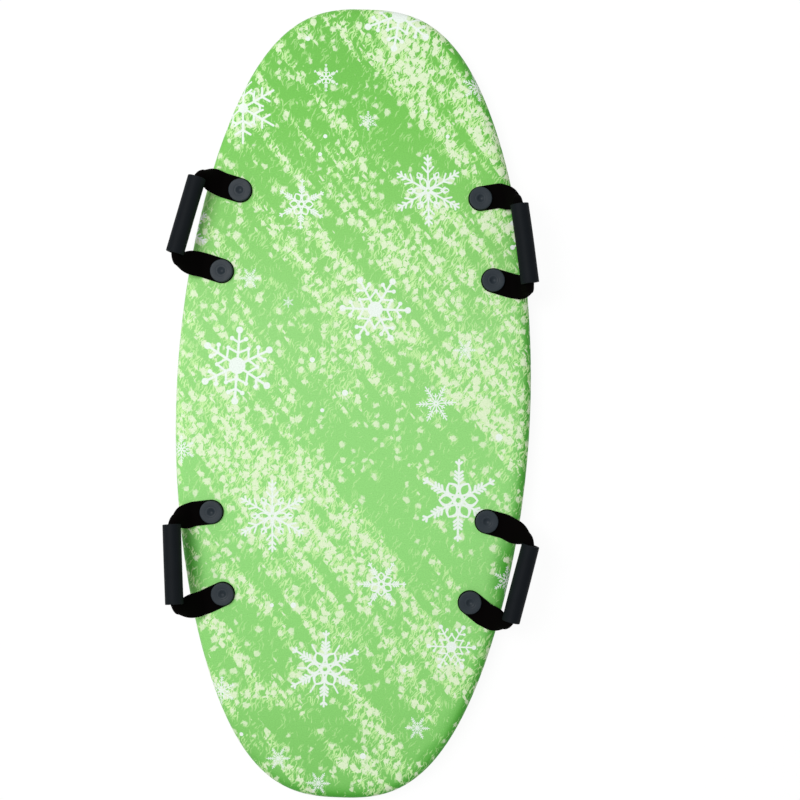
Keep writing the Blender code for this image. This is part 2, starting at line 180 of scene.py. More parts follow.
class Wiring:
    """A node tree that is wired up in Python."""

    def __init__(self, tree: bpy.types.NodeTree) -> None:
        """Take over a tree."""
        self.tree = tree

    @staticmethod
    def pick(sockets: bpy.types.bpy_prop_collection, key: Key) -> bpy.types.NodeSocket:
        """The socket in use that has a name or stands at a place.

        Args:
            sockets: a node's inputs or outputs.
            key: its name, or its place among those in use.

        Returns:
            The socket.
        """
        used = [socket for socket in sockets if socket.enabled]
        if isinstance(key, int):
            return used[key]
        return next(socket for socket in used if socket.name == key)

    def feed(self, target: bpy.types.NodeSocket, value: object) -> None:
        """Link a socket to a field, or set it to a plain value.

        Args:
            target: the socket.
            value: a field, or a plain value.
        """
        if isinstance(value, Field):
            self.tree.links.new(value.socket, target)
        else:
            target.default_value = value

    def raw(
        self, kind: str, settings: dict | None = None, inputs: dict | None = None
    ) -> bpy.types.Node:
        """Add a node.

        Args:
            kind: the node's type.
            settings: what to set on the node before its sockets. A ramp's stops are a list of
                position and colour.
            inputs: a value or a link for each socket, by its name or place.

        Returns:
            The node.
        """
        made = self.tree.nodes.new(kind)
        for name, value in (settings or {}).items():
            if name == "stops":
                self.set_stops(made.color_ramp, value)
            else:
                setattr(made, name, value)
        for key, value in (inputs or {}).items():
            self.feed(self.pick(made.inputs, key), value)
        return made

    def node(
        self,
        kind: str,
        settings: dict | None = None,
        inputs: dict | None = None,
        output: Key = 0,
    ) -> Field:
        """Add a node as raw does, and give back one of its outputs."""
        return Field(self, self.pick(self.raw(kind, settings, inputs).outputs, output))

    @staticmethod
    def set_stops(ramp: bpy.types.ColorRamp, stops: list) -> None:
        """Give a ramp its stops.

        Args:
            ramp: the ramp.
            stops: a position and a colour for each.
        """
        while len(ramp.elements) < len(stops):
            ramp.elements.new(1.0)
        for element, (position, colour) in zip(ramp.elements, stops):
            element.position = position
            element.color = colour

    def maths(self, operation: str, *numbers: Value) -> Field:
        """A Math node on one to three numbers."""
        return self.node("ShaderNodeMath", {"operation": operation}, dict(enumerate(numbers)))

    def vector(self, operation: str, *parts: object, output: Key = 0) -> Field:
        """A Vector Math node."""
        inputs = dict(enumerate(parts))
        return self.node("ShaderNodeVectorMath", {"operation": operation}, inputs, output)

    def joined(self, x: Value, y: Value, z: Value = 0.0) -> Field:
        """A vector of three numbers."""
        return self.node("ShaderNodeCombineXYZ", None, {"X": x, "Y": y, "Z": z})

    def split(self, vector: Field) -> tuple[Field, ...]:
        """The three numbers of a vector."""
        made = self.raw("ShaderNodeSeparateXYZ", None, {"Vector": vector})
        return tuple(Field(self, output) for output in made.outputs)


class Paint(Wiring):
    """A material in the making."""

    def __init__(self, name: str) -> None:
        """Start from a plain Principled material.

        Args:
            name: the material's name.
        """
        self.material = bpy.data.materials.new(name)
        self.material.use_nodes = True
        super().__init__(self.material.node_tree)
        self.shader = self.tree.nodes["Principled BSDF"]

    def set(self, **values: object) -> None:
        """Set or link sockets of the shader, with _ for a space in a name."""
        for name, value in values.items():
            self.feed(self.shader.inputs[name.replace("_", " ")], value)

    def attribute(self, name: str, output: str = "Vector") -> Field:
        """An attribute of the mesh."""
        return self.node("ShaderNodeAttribute", {"attribute_name": name}, None, output)

    def object_place(self) -> Field:
        """The place on the object."""
        return self.node("ShaderNodeTexCoord", None, None, "Object")

    def noise(self, place: Field, grain: float, detail: float = 2.0, flat: bool = False) -> Field:
        """Noise with lumps about a given size across.

        Args:
            place: where it is read, in metres.
            grain: the size of its lumps, in metres.
            detail: how many finer layers it has.
            flat: whether only the first two numbers of the place count.

        Returns:
            A number about 0.5.
        """
        values = {"Vector": place, "Scale": 1.0 / grain, "Detail": detail}
        return self.node("ShaderNodeTexNoise", {"noise_dimensions": "2D" if flat else "3D"}, values)

    def cells(self, place: Field, size: float, disorder: float) -> tuple[Field, Field, Field]:
        """Cells scattered over a plane.

        Args:
            place: where they are read, in metres.
            size: how far apart they are, in metres.
            disorder: from 0 in rows to 1 at random.

        Returns:
            How far off the nearest cell's middle is, in metres, and two random numbers of its own.
        """
        values = {"Vector": place, "Scale": 1.0 / size, "Randomness": disorder}
        made = self.raw("ShaderNodeTexVoronoi", {"voronoi_dimensions": "2D"}, values)
        first, second, _ = self.split(Field(self, made.outputs["Color"]))
        return Field(self, made.outputs["Distance"]) * size, first, second

    def turned(self, place: Field, degrees: float, stretch: tuple[float, float, float]) -> Field:
        """A place in a frame that is turned about Z and drawn out."""
        values = {"Vector": place, "Rotation": (0.0, 0.0, math.radians(degrees)), "Scale": stretch}
        return self.node("ShaderNodeMapping", {"vector_type": "TEXTURE"}, values)

    def slanted(self, place: Field, degrees: float, stretch: float) -> Field:
        """A place in a frame that is turned, and drawn out along its first axis."""
        return self.turned(place, degrees, (stretch, 1.0, 1.0))

    def blend(self, share: Value, under: object, over: object, mode: str = "MIX") -> Field:
        """One colour laid over another by a share."""
        settings = {"data_type": "RGBA", "blend_type": mode}
        return self.node("ShaderNodeMix", settings, {"Factor": share, "A": under, "B": over})

    def shaded(self, colour: object, by: Value) -> Field:
        """A colour made lighter or darker by a factor."""
        return self.blend(1.0, colour, self.joined(by, by, by), "MULTIPLY")

    def bump(self, height: Field) -> None:
        """Give the surface a relief, in metres."""
        values = {"Height": height, "Distance": 1.0, "Strength": 1.0}
        self.set(Normal=self.node("ShaderNodeBump", None, values))


# Snowflakes of the print


class Flake(IntEnum):
    """The ornaments of the print."""

    FERN = 1
    BEADED = 2
    PETALLED = 3
    CELLED = 4
    SPRIG = 5
    DOT = 6
    ROSETTE = 7


class Part(Enum):
    """What an ornament is drawn from, by the pen's method."""

    LINE = "line"
    BRANCH = "branch"
    BEAD = "bead"
    RING = "ring"
    PETAL = "petal"


ROSETTE = (
    (Part.LINE, (0.30, 0.0), (0.97, 0.0), 0.024),
    (Part.RING, 0.105, 0.042),
    (Part.PETAL, 0.13, 0.46, 0.130, 0.038),
    (Part.BRANCH, 0.44, 0.13, 0.026, 50.0),
    (Part.BRANCH, 0.53, 0.12, 0.026, 50.0),
    (Part.BRANCH, 0.62, 0.11, 0.026, 50.0),
    (Part.BRANCH, 0.86, 0.09, 0.026, 50.0),
)
ORNAMENTS: dict[Flake, tuple] = {
    # Open petals with forked tips round a ring, and arms with branches and barbs.
    Flake.FERN: (
        (Part.LINE, (0.06, 0.0), (0.98, 0.0), 0.024),
        (Part.RING, 0.066, 0.026),
        (Part.PETAL, 0.08, 0.43, 0.085, 0.022),
        (Part.PETAL, 0.42, 0.58, 0.050, 0.018),
        (Part.LINE, (0.312, 0.180), (0.448, 0.166), 0.020),
        (Part.BRANCH, 0.49, 0.23, 0.022, 42.0),
        (Part.BRANCH, 0.70, 0.12, 0.024, 45.0),
        (Part.BRANCH, 0.83, 0.13, 0.024, 45.0),
    ),
    # A solid hub in a zigzag star, with beads on the ends of the arms and branches.
    Flake.BEADED: (
        (Part.LINE, (0.0, 0.0), (0.90, 0.0), 0.030),
        (Part.RING, 0.128, 0.086),
        (Part.LINE, (0.33, 0.0), (0.455, 0.263), 0.026),
        (Part.BEAD, 0.455, 0.263, 0.052),
        (Part.BRANCH, 0.60, 0.21, 0.026),
        (Part.BEAD, 0.705, 0.182, 0.056),
        (Part.BEAD, 0.93, 0.0, 0.088),
    ),
    # A rosette with a thin spike on each petal.
    Flake.PETALLED: (*ROSETTE, (Part.LINE, (0.39, 0.225), (0.61, 0.352), 0.018)),
    # A ring of open cells, with forked arms.
    Flake.CELLED: (
        (Part.LINE, (0.0, 0.0), (1.0, 0.0), 0.028),
        (Part.RING, 0.10, 0.042),
        (Part.LINE, (0.36, 0.0), (0.455, 0.165), 0.030),
        (Part.LINE, (0.455, 0.165), (0.420, 0.242), 0.030),
        (Part.BRANCH, 0.63, 0.25, 0.028),
        (Part.LINE, (0.455, 0.165), (0.52, 0.240), 0.026),
    ),
    # Thin barbed arms round a ring, with forked twigs between them.
    Flake.SPRIG: (
        (Part.LINE, (0.06, 0.0), (1.0, 0.0), 0.028),
        (Part.RING, 0.085, 0.030),
        (Part.LINE, (0.10, 0.058), (0.42, 0.242), 0.026),
        (Part.LINE, (0.27, 0.156), (0.40, 0.120), 0.024),
        (Part.BRANCH, 0.42, 0.16, 0.024, 45.0),
        (Part.BRANCH, 0.58, 0.16, 0.024, 45.0),
        (Part.BRANCH, 0.74, 0.16, 0.024, 45.0),
    ),
    Flake.DOT: ((Part.BEAD, 0.0, 0.0, 1.0),),
    # Thick hollow petals round a ring, and arms with barbs and a forked tip.
    Flake.ROSETTE: ROSETTE,
}


@dataclass(frozen=True)
class FlakePen:
    """Draws six-fold snowflakes as distances to their lines.

    A flake has a radius of 1. It is folded so that only half of one arm is drawn: the first number
    runs out along the arm and the second stands off from it."""

    paint: Paint
    place: Field
    along: Field
    off: Field
    radius: Field

    @classmethod
    def at(cls, paint: Paint, local: Field) -> "FlakePen":
        """Fold the plane of a flake.

        Args:
            paint: the material that it belongs to.
            local: the place in the flake's own plane, with an arm up.

        Returns:
            A pen for that plane.
        """
        across, up, _ = paint.split(local)
        angle = paint.maths("ARCTAN2", across, up)
        sixth = math.tau / 6
        folded = abs(paint.maths("WRAP", angle, sixth / 2, -sixth / 2))
        radius = paint.vector("LENGTH", paint.joined(across, up), output="Value")
        along = radius * folded.maths("COSINE")
        off = radius * folded.maths("SINE")
        return cls(paint, paint.joined(along, off), along, off, radius)

    def line(self, start: tuple[float, float], stop: tuple[float, float], half: float) -> Field:
        """A straight bar with round ends, from start to stop, half its width to each side.

        Args:
            start: one end.
            stop: the other end.
            half: half of its width.

        Returns:
            How far outside the bar a place is.
        """
        run = Vector(stop) - Vector(start)
        heading = run.normalized()
        away = self.paint.vector("SUBTRACT", self.place, (start[0], start[1], 0.0))
        reach = self.paint.vector("DOT_PRODUCT", away, (heading.x, heading.y, 0.0), output="Value")
        reach = reach.held(0.0, run.length)
        foot = self.paint.joined(reach * heading.x, reach * heading.y)
        return self.paint.vector("DISTANCE", away, foot, output="Value") - half

    def branch(self, foot: float, length: float, half: float, degrees: float = 60.0) -> Field:
        """A side branch that leaves the arm at a foot.

        Args:
            foot: where it leaves the arm.
            length: its length.
            half: half of its width.
            degrees: its angle to the arm.

        Returns:
            How far outside the branch a place is.
        """
        turn = math.radians(degrees)
        tip = (foot + length * math.cos(turn), length * math.sin(turn))
        return self.line((foot, 0.0), tip, half)

    def bead(self, x: float, y: float, size: float) -> Field:
        """A round bead."""
        return self.paint.vector("DISTANCE", self.place, (x, y, 0.0), output="Value") - size

    def ring(self, size: float, half: float) -> Field:
        """A ring about the middle."""
        return abs(self.radius - size) - half

    def petal(self, start: float, stop: float, width: float, half: float) -> Field:
        """A hollow petal between two arms.

        Args:
            start: how far out it begins.
            stop: how far out it ends.
            width: half of its breadth.
            half: half of its line's width.

        Returns:
            How far outside its line a place is.
        """
        turn = math.tau / 12
        out = self.along * math.cos(turn) + self.off * math.sin(turn)
        side = self.along * math.sin(turn) - self.off * math.cos(turn)
        share = (out - start) / (stop - start)
        edge = share * (1.0 - share) * (4.0 * width)
        wall = abs(side - edge) - half
        return wall.most(start - half - out).most(out - stop - half)

    def ink(self, kind: Field) -> Field:
        """The share of ink for whichever ornament a face carries.

        Args:
            kind: the ornament's number on this face, or 0.

        Returns:
            1 on the ornament's lines and 0 off them.
        """
        total: Value = 0.0
        for flake, parts in ORNAMENTS.items():
            chosen = self.paint.maths("COMPARE", kind, float(flake), 0.5)
            drawn = (getattr(self, part.value)(*sizes) for part, *sizes in parts)
            total = total + chosen * (1.0 - reduce(Field.least, drawn).eased(-0.010, 0.014))
        return total


# Finishes


@dataclass(frozen=True)
class BlotLayer:
    """One layer of frost blots, scattered over cells."""

    cell: float
    radius: float
    shift: float
    plenty: float
    least: float


@dataclass(frozen=True)
class HairLayer:
    """One layer of frost hairs, which all lean about the same way."""

    cell: float
    half: float
    lean: float
    stretch: float


@dataclass(frozen=True)
class PrintedSkin:
    """Pebbled foam skin, printed with frost and snowflakes on green, with painted shade on its
    lower right rails and by the handles.
    """

    slot: str = "printed_skin"
    ends: tuple = (
        (-0.61, (118, 192, 92)), (-0.45, (133, 205, 107)), (-0.20, (141, 212, 117)),
        (0.12, (143, 210, 118)), (0.28, (130, 202, 100)), (0.44, (114, 194, 80)),
        (0.61, (106, 186, 73)),
    )
    # Painted shade: the darker green laid on the lower right rails, which face away from the light,
    # and in the painted shadows by the handles.
    deep: tuple = (62, 166, 32)
    frost: tuple = (218, 236, 197)
    threads: tuple = (196, 236, 162)
    flakes: tuple = (230, 240, 232)
    slant: float = -50.0
    band_stretch: float = 13.0
    band_grain: float = 0.021
    chain_stretch: float = 4.0
    chain_grain: float = 0.010
    band_strength: float = 1.6
    chain_strength: float = 0.7
    uneven_least: float = 0.17
    uneven_gain: float = 3.0
    scattered: float = 0.13
    curl_grain: float = 0.0085
    curl_reach: float = 0.0070
    patch_grain: float = 0.016
    rough_grain: float = 0.0030
    hair_share: Span = (-0.08, 1.9)
    patch_strength: float = 0.6
    near_blots: float = 0.35
    near_reach: float = 0.0060
    thin_to_dense: Span = (0.10, 0.55)
    rough_reach: Span = (0.0038, 0.0026)
    hair_reach: Span = (0.0008, 0.0010)
    hair_level: float = 0.3
    frost_strength: Span = (0.78, 0.22)
    hair_strength: Span = (0.42, 0.58)
    skin_grain: float = 1.9 * MM
    skin_relief: float = 0.05 * MM
    pebble_grain: float = 3.6 * MM
    pebble_relief: float = 0.16 * MM
    soft_edge: Span = (-0.0014, 0.0016)
    layers: tuple[BlotLayer, ...] = (
        BlotLayer(0.0170, 0.0048, 0.37, 1.1, 0.12),
        BlotLayer(0.0140, 0.0043, 1.91, 0.9, -0.08),
        BlotLayer(0.0110, 0.0035, 2.63, 0.9, -0.26),
    )
    hairs: tuple[HairLayer, ...] = (
        HairLayer(0.0030, 0.00085, 66.0, 9.0),
        HairLayer(0.0031, 0.00085, 46.0, 8.0),
        HairLayer(0.0033, 0.00085, 92.0, 7.0),
    )

    def ground(self, paint: Paint, place: Field) -> Field:
        """The green of the print, deeper towards both ends.

        Args:
            paint: the material.
            place: the place on the print.

        Returns:
            The colour.
        """
        _, along, _ = paint.split(place)
        low, high = self.ends[0][0], self.ends[-1][0]
        stops = [((at - low) / (high - low), linear(*colour)) for at, colour in self.ends]
        height = {"Fac": (along - low) / (high - low)}
        return paint.node("ShaderNodeValToRGB", {"stops": stops}, height, "Color")

    def blots(self, paint: Paint, place: Field, layer: BlotLayer, cover: Field) -> Field:
        """Round blots of frost, one at most to a cell.

        Args:
            paint: the material.
            place: the place on the print.
            layer: the size and the shift of the cells.
            cover: the share of the print that is frosted about here.

        Returns:
            How deep inside a blot a place is, in metres, and below 0 outside.
        """
        spot = paint.vector("ADD", place, (layer.shift, layer.shift * 0.7, 0.0))
        far, chance, spread = paint.cells(spot, layer.cell, 0.9)
        reach = layer.radius * (0.60 + spread * 0.45 + cover * 0.35)
        missing = (chance - cover * layer.plenty - layer.least).eased(-0.03, 0.03)
        return reach - far - missing * (2.0 * layer.radius)

    def strands(self, paint: Paint, place: Field, hair: HairLayer, thick: Field) -> Field:
        """Short curly hairs that lean one way, one at most to a long cell.

        Args:
            paint: the material.
            place: the place on the print, already bent where the hairs curl.
            hair: the size and the lean of the hairs.
            thick: the share of the cells that hold a hair.

        Returns:
            1 on a hair and 0 off it.
        """
        spot = paint.slanted(place, hair.lean, hair.stretch)
        far, chance, spread = paint.cells(spot, hair.cell, 1.0)
        half = hair.half * (0.7 + spread * 0.6)
        missing = (chance - thick).eased(-0.05, 0.05)
        return (half - far - missing * 0.01).eased(-0.0003, 0.0004)

    def frosting(self, paint: Paint, place: Field, cover: Field) -> tuple[Field, Field]:
        """Frost blots, and the fine hairs round them.

        Args:
            paint: the material.
            place: the place on the print.
            cover: the share of the print that is frosted about here.

        Returns:
            The share of frost, and the share of hairs.
        """
        bands = paint.slanted(place, self.slant, self.band_stretch)
        chains = paint.slanted(place, self.slant, self.chain_stretch)
        streaks = paint.noise(bands, self.band_grain, 2.0, True) - 0.5
        beads = paint.noise(chains, self.chain_grain, 1.0, True) - 0.5
        uneven = streaks * self.band_strength + beads * self.chain_strength
        reach = self.uneven_least + cover * (1.0 - cover) * self.uneven_gain
        cover = cover + uneven * reach
        cover = cover.most(self.scattered)
        curls = {"Vector": place, "Scale": 1.0 / self.curl_grain, "Detail": 1.0}
        curls = paint.node("ShaderNodeTexNoise", {"noise_dimensions": "2D"}, curls, "Color")
        bent = paint.vector("ADD", place, paint.vector("SCALE", curls, self.curl_reach))
        depth = reduce(Field.most, (self.blots(paint, bent, layer, cover) for layer in self.layers))
        rough = paint.noise(place, self.rough_grain, 2.0, True) - 0.5
        patches = paint.noise(place, self.patch_grain, 2.0, True) - 0.5
        thick = cover.ranged(self.hair_share) + patches * self.patch_strength
        thick = thick + depth.eased(-self.near_reach, 0.0) * self.near_blots
        hairs = reduce(Field.most, (self.strands(paint, bent, hair, thick) for hair in self.hairs))
        dense = cover.eased(*self.thin_to_dense)
        broken = rough * dense.ranged(self.rough_reach)
        broken = broken + (hairs - self.hair_level) * dense.ranged(self.hair_reach)
        frost = (depth + broken).eased(*self.soft_edge)
        return frost * dense.ranged(self.frost_strength), hairs * dense.ranged(self.hair_strength)

    def material(self) -> bpy.types.Material:
        """The finish, on the attributes of the skin's mesh.

        Returns:
            The material.
        """
        paint = Paint(self.slot)
        place = paint.attribute("print_place")
        frost, hairs = self.frosting(paint, place, paint.attribute("frost", "Fac"))
        local = paint.attribute("flake_place")
        _, _, kind = paint.split(local)
        ink = FlakePen.at(paint, local).ink(kind)
        grain = paint.noise(place, self.skin_grain)
        pebbles = paint.noise(place, self.pebble_grain, 1.0)
        # Painted shade: the rim attribute lays darker green on the rails that face away from the
        # light and by the handles.
        rim = paint.attribute("rim", "Fac")
        colour = self.ground(paint, place)
        layers = ((rim, self.deep), (hairs, self.threads), (frost, self.frost), (ink, self.flakes))
        for share, over in layers:
            colour = paint.blend(share, colour, linear(*over))
        # Painted shade again: the rim share darkens every layer here, frost and flakes too.
        colour = paint.shaded(colour, 0.80 + grain * 0.40 - rim * 0.14)
        paint.set(Base_Color=colour, Roughness=0.50 + pebbles * 0.16, Specular_IOR_Level=0.30)
        paint.bump(pebbles * self.pebble_relief + grain * self.skin_relief)
        return paint.material


@dataclass(frozen=True)
class Webbing:
    """Flat woven webbing, nearly black."""

    slot: str = "webbing"
    tint: tuple = (5, 3, 3)
    rib: float = 1.5 * MM
    pick: float = 0.75 * MM
    relief: float = 0.09 * MM
    fuzz_grain: float = 1.1 * MM
    fuzz_relief: float = 0.04 * MM

    def material(self) -> bpy.types.Material:
        """The weave, on the strap's own across and along places.

        Returns:
            The material.
        """
        paint = Paint(self.slot)
        across, along, _ = paint.split(paint.attribute("weave_place"))
        warp = (across * (math.tau / self.rib)).maths("SINE")
        stagger = across * (0.5 / self.rib) + along / self.pick
        weft = (stagger * math.tau).maths("SINE")
        weave = warp * 0.5 + warp * weft * 0.5
        fuzz = paint.noise(paint.object_place(), self.fuzz_grain, 3.0)
        shade = 0.75 + weave * 0.25 + (fuzz - 0.5) * 0.5
        paint.set(Base_Color=paint.shaded(linear(*self.tint), shade))
        paint.set(Roughness=0.80 + fuzz * 0.15, Specular_IOR_Level=0.03)
        paint.bump(weave * self.relief + fuzz * self.fuzz_relief)
        return paint.material


@dataclass(frozen=True)
class GripFoam:
    """Closed-cell foam tube with a fine skin."""

    slot: str = "grip_foam"
    tint: tuple = (18, 22, 26)
    cell_grain: float = 1.1 * MM
    cell_relief: float = 0.07 * MM
    patch_grain: float = 21.0 * MM
    patch_relief: float = 0.25 * MM

    def material(self) -> bpy.types.Material:
        """The finish, on the object's own places.

        Returns:
            The material.
        """
        paint = Paint(self.slot)
        place = paint.object_place()
        cells = paint.noise(place, self.cell_grain)
        patches = paint.noise(place, self.patch_grain)
        shade = 1.0 + (cells - 0.5) * 0.35 + (patches - 0.5) * 0.30
        paint.set(Base_Color=paint.shaded(linear(*self.tint), shade), Specular_IOR_Level=0.07)
        paint.set(Roughness=0.50 + cells * 0.2, Coat_Roughness=0.5)
        paint.bump(cells * self.cell_relief + patches * self.patch_relief)
        return paint.material


@dataclass(frozen=True)
class MouldedPlastic:
    """Satin moulded plastic of the buttons and their sockets."""

    slot: str = "button_plastic"
    tint: tuple = (35, 44, 51)
    texture_grain: float = 0.6 * MM
    flow_grain: float = 12.0 * MM
    relief: float = 0.015 * MM

    def material(self) -> bpy.types.Material:
        """The finish, on the object's own places.

        Returns:
            The material.
        """
        paint = Paint(self.slot)
        place = paint.object_place()
        texture = paint.noise(place, self.texture_grain)
        flow = paint.noise(place, self.flow_grain)
        shade = 1.0 + (flow - 0.5) * 0.25 + (texture - 0.5) * 0.2
        paint.set(Base_Color=paint.shaded(linear(*self.tint), shade), Specular_IOR_Level=0.24)
        paint.set(Roughness=0.40 + flow * 0.18)
        paint.bump(texture * self.relief)
        return paint.material


@dataclass(frozen=True)
class SlickSheet:
    """Smooth black sheet, with fine scratches along the way that it slides."""

    slot: str = "slick_sheet"
    tint: tuple = (30, 32, 34)
    scratch_tint: tuple = (62, 65, 67)
    scratch_grain: float = 1.3 * MM
    scratch_stretch: float = 60.0
    haze_grain: float = 70.0 * MM
    relief: float = 0.02 * MM

    def material(self) -> bpy.types.Material:
        """The finish, on the object's own places.

        Returns:
            The material.
        """
        paint = Paint(self.slot)
        place = paint.object_place()
        drawn = paint.turned(place, 0.0, (1.0, self.scratch_stretch, 1.0))
        scratches = paint.noise(drawn, self.scratch_grain, 3.0).eased(0.60, 0.72)
        haze = paint.noise(place, self.haze_grain, 3.0)
        colour = paint.blend(scratches * 0.5, linear(*self.tint), linear(*self.scratch_tint))
        paint.set(Base_Color=paint.shaded(colour, 0.9 + haze * 0.2))
        paint.set(Roughness=0.26 + scratches * 0.2 + haze * 0.14)
        paint.bump((1.0 - scratches) * self.relief)
        return paint.material


@dataclass(frozen=True)
class CoreFoam:
    """White closed-cell foam of the board."""

    slot: str = "foam_core"
    tint: tuple = (238, 238, 234)
    beads: float = 320.0
    relief: float = 0.3 * MM

    def material(self) -> bpy.types.Material:
        """The finish, on the object's own places.

        Returns:
            The material.
        """
        paint = Paint(self.slot)
        values = {"Vector": paint.object_place(), "Scale": self.beads}
        beads = paint.node("ShaderNodeTexVoronoi", None, values, "Distance")
        paint.set(Base_Color=paint.shaded(linear(*self.tint), 1.03 - beads * 0.12))
        paint.set(Roughness=0.85)
        paint.bump(beads * -self.relief)
        return paint.material


@dataclass(frozen=True)
class StudioFloor:
    """A white floor that shows white to the camera and keeps a faint shadow."""

    glow: float = 0.90
    white: float = 1.03

    def material(self) -> bpy.types.Material:
        """A pale matt surface, brightened for whatever looks straight at it.

        Returns:
            The material.
        """
        paint = Paint("studio_floor")
        paint.set(Base_Color=(0.82, 0.82, 0.82, 1.0), Roughness=0.95, Specular_IOR_Level=0.0)
        light = paint.raw("ShaderNodeLightPath")
        kinds = ("Camera", "Glossy", "Transmission")
        seen = reduce(Field.most, (Field(paint, light.outputs[f"Is {kind} Ray"]) for kind in kinds))
        glow = paint.node("ShaderNodeEmission", None, {"Color": WHITE, "Strength": self.white})
        lit = Field(paint, paint.shader.outputs[0])
        mixed = paint.node("ShaderNodeMixShader", None, {0: seen * self.glow, 1: lit, 2: glow})
        end = next(node for node in paint.tree.nodes if node.type == "OUTPUT_MATERIAL")
        paint.feed(end.inputs["Surface"], mixed)
        return paint.material


# Meshes


def placed(name: str, data: bpy.types.ID) -> bpy.types.Object:
    """Put a mesh, a light or a camera in the scene as an object at the origin.

    Args:
        name: the object's name.
        data: what it shows.

    Returns:
        The object.
    """
    made = bpy.data.objects.new(name, data)
    bpy.context.scene.collection.objects.link(made)
    return made


def place_mesh(
    name: str, mesh: bpy.types.Mesh, finish: bpy.types.Material | None = None
) -> bpy.types.Object:
    """Put a mesh in the scene as a piece at the origin.

    Args:
        name: the piece's name.
        mesh: its mesh, in the row frame.
        finish: its material, if the mesh has none.

    Returns:
        The piece.
    """
    if finish is not None:
        mesh.materials.append(finish)
    return placed(name, mesh)


def settled(piece: bpy.types.Object) -> bpy.types.Object:
    """Apply a piece's modifiers and drop them.

    Args:
        piece: the piece with its modifiers.

    Returns:
        The same piece, with a plain mesh.
    """
    bpy.context.view_layer.update()
    seen = piece.evaluated_get(bpy.context.evaluated_depsgraph_get())
    made = bpy.data.meshes.new_from_object(seen)
    piece.modifiers.clear()
    piece.data = made
    made.name = piece.name
    return piece


def polyline(name: str, points: list[Vector], closed: bool = False) -> bpy.types.Object:
    """A hidden helper of points joined in a row.

    Args:
        name: the helper's name.
        points: its points.
        closed: whether the first point is repeated at the end.

    Returns:
        The helper, which isn't in any collection.
    """
    spots = [tuple(point) for point in (points + points[:1] if closed else points)]
    mesh = bpy.data.meshes.new(name)
    mesh.from_pydata(spots, [(i, i + 1) for i in range(len(spots) - 1)], [])
    return bpy.data.objects.new(name, mesh)


def give_attribute(
    mesh: bpy.types.Mesh, name: str, values: np.ndarray | list, domain: str = "POINT"
) -> None:
    """Store an attribute on a mesh.

    Args:
        mesh: the mesh.
        name: the attribute's name.
        values: one number or one row of three for each element.
        domain: POINT or CORNER.
    """
    values = np.asarray(values, np.float32)
    kind, slot = ("FLOAT_VECTOR", "vector") if values.ndim == 2 else ("FLOAT", "value")
    mesh.attributes.new(name, kind, domain).data.foreach_set(slot, values.ravel())


def rows_of(elements: bpy.types.bpy_prop_collection, name: str) -> np.ndarray:
    """A vector of each element of a mesh, a row for each.

    Args:
        elements: vertices, or an attribute's data.
        name: the vector that is read.

    Returns:
        An array with a row of three numbers for each.
    """
    flat = np.zeros(len(elements) * 3, np.float32)
    elements.foreach_get(name, flat)
    return flat.reshape(-1, 3).astype(np.float64)


def quarter(steps: int) -> list[tuple[float, float]]:
    """The sine and the cosine of even steps through a right angle."""
    angles = [math.pi / 2 * step / steps for step in range(steps + 1)]
    return [(math.sin(angle), math.cos(angle)) for angle in angles]


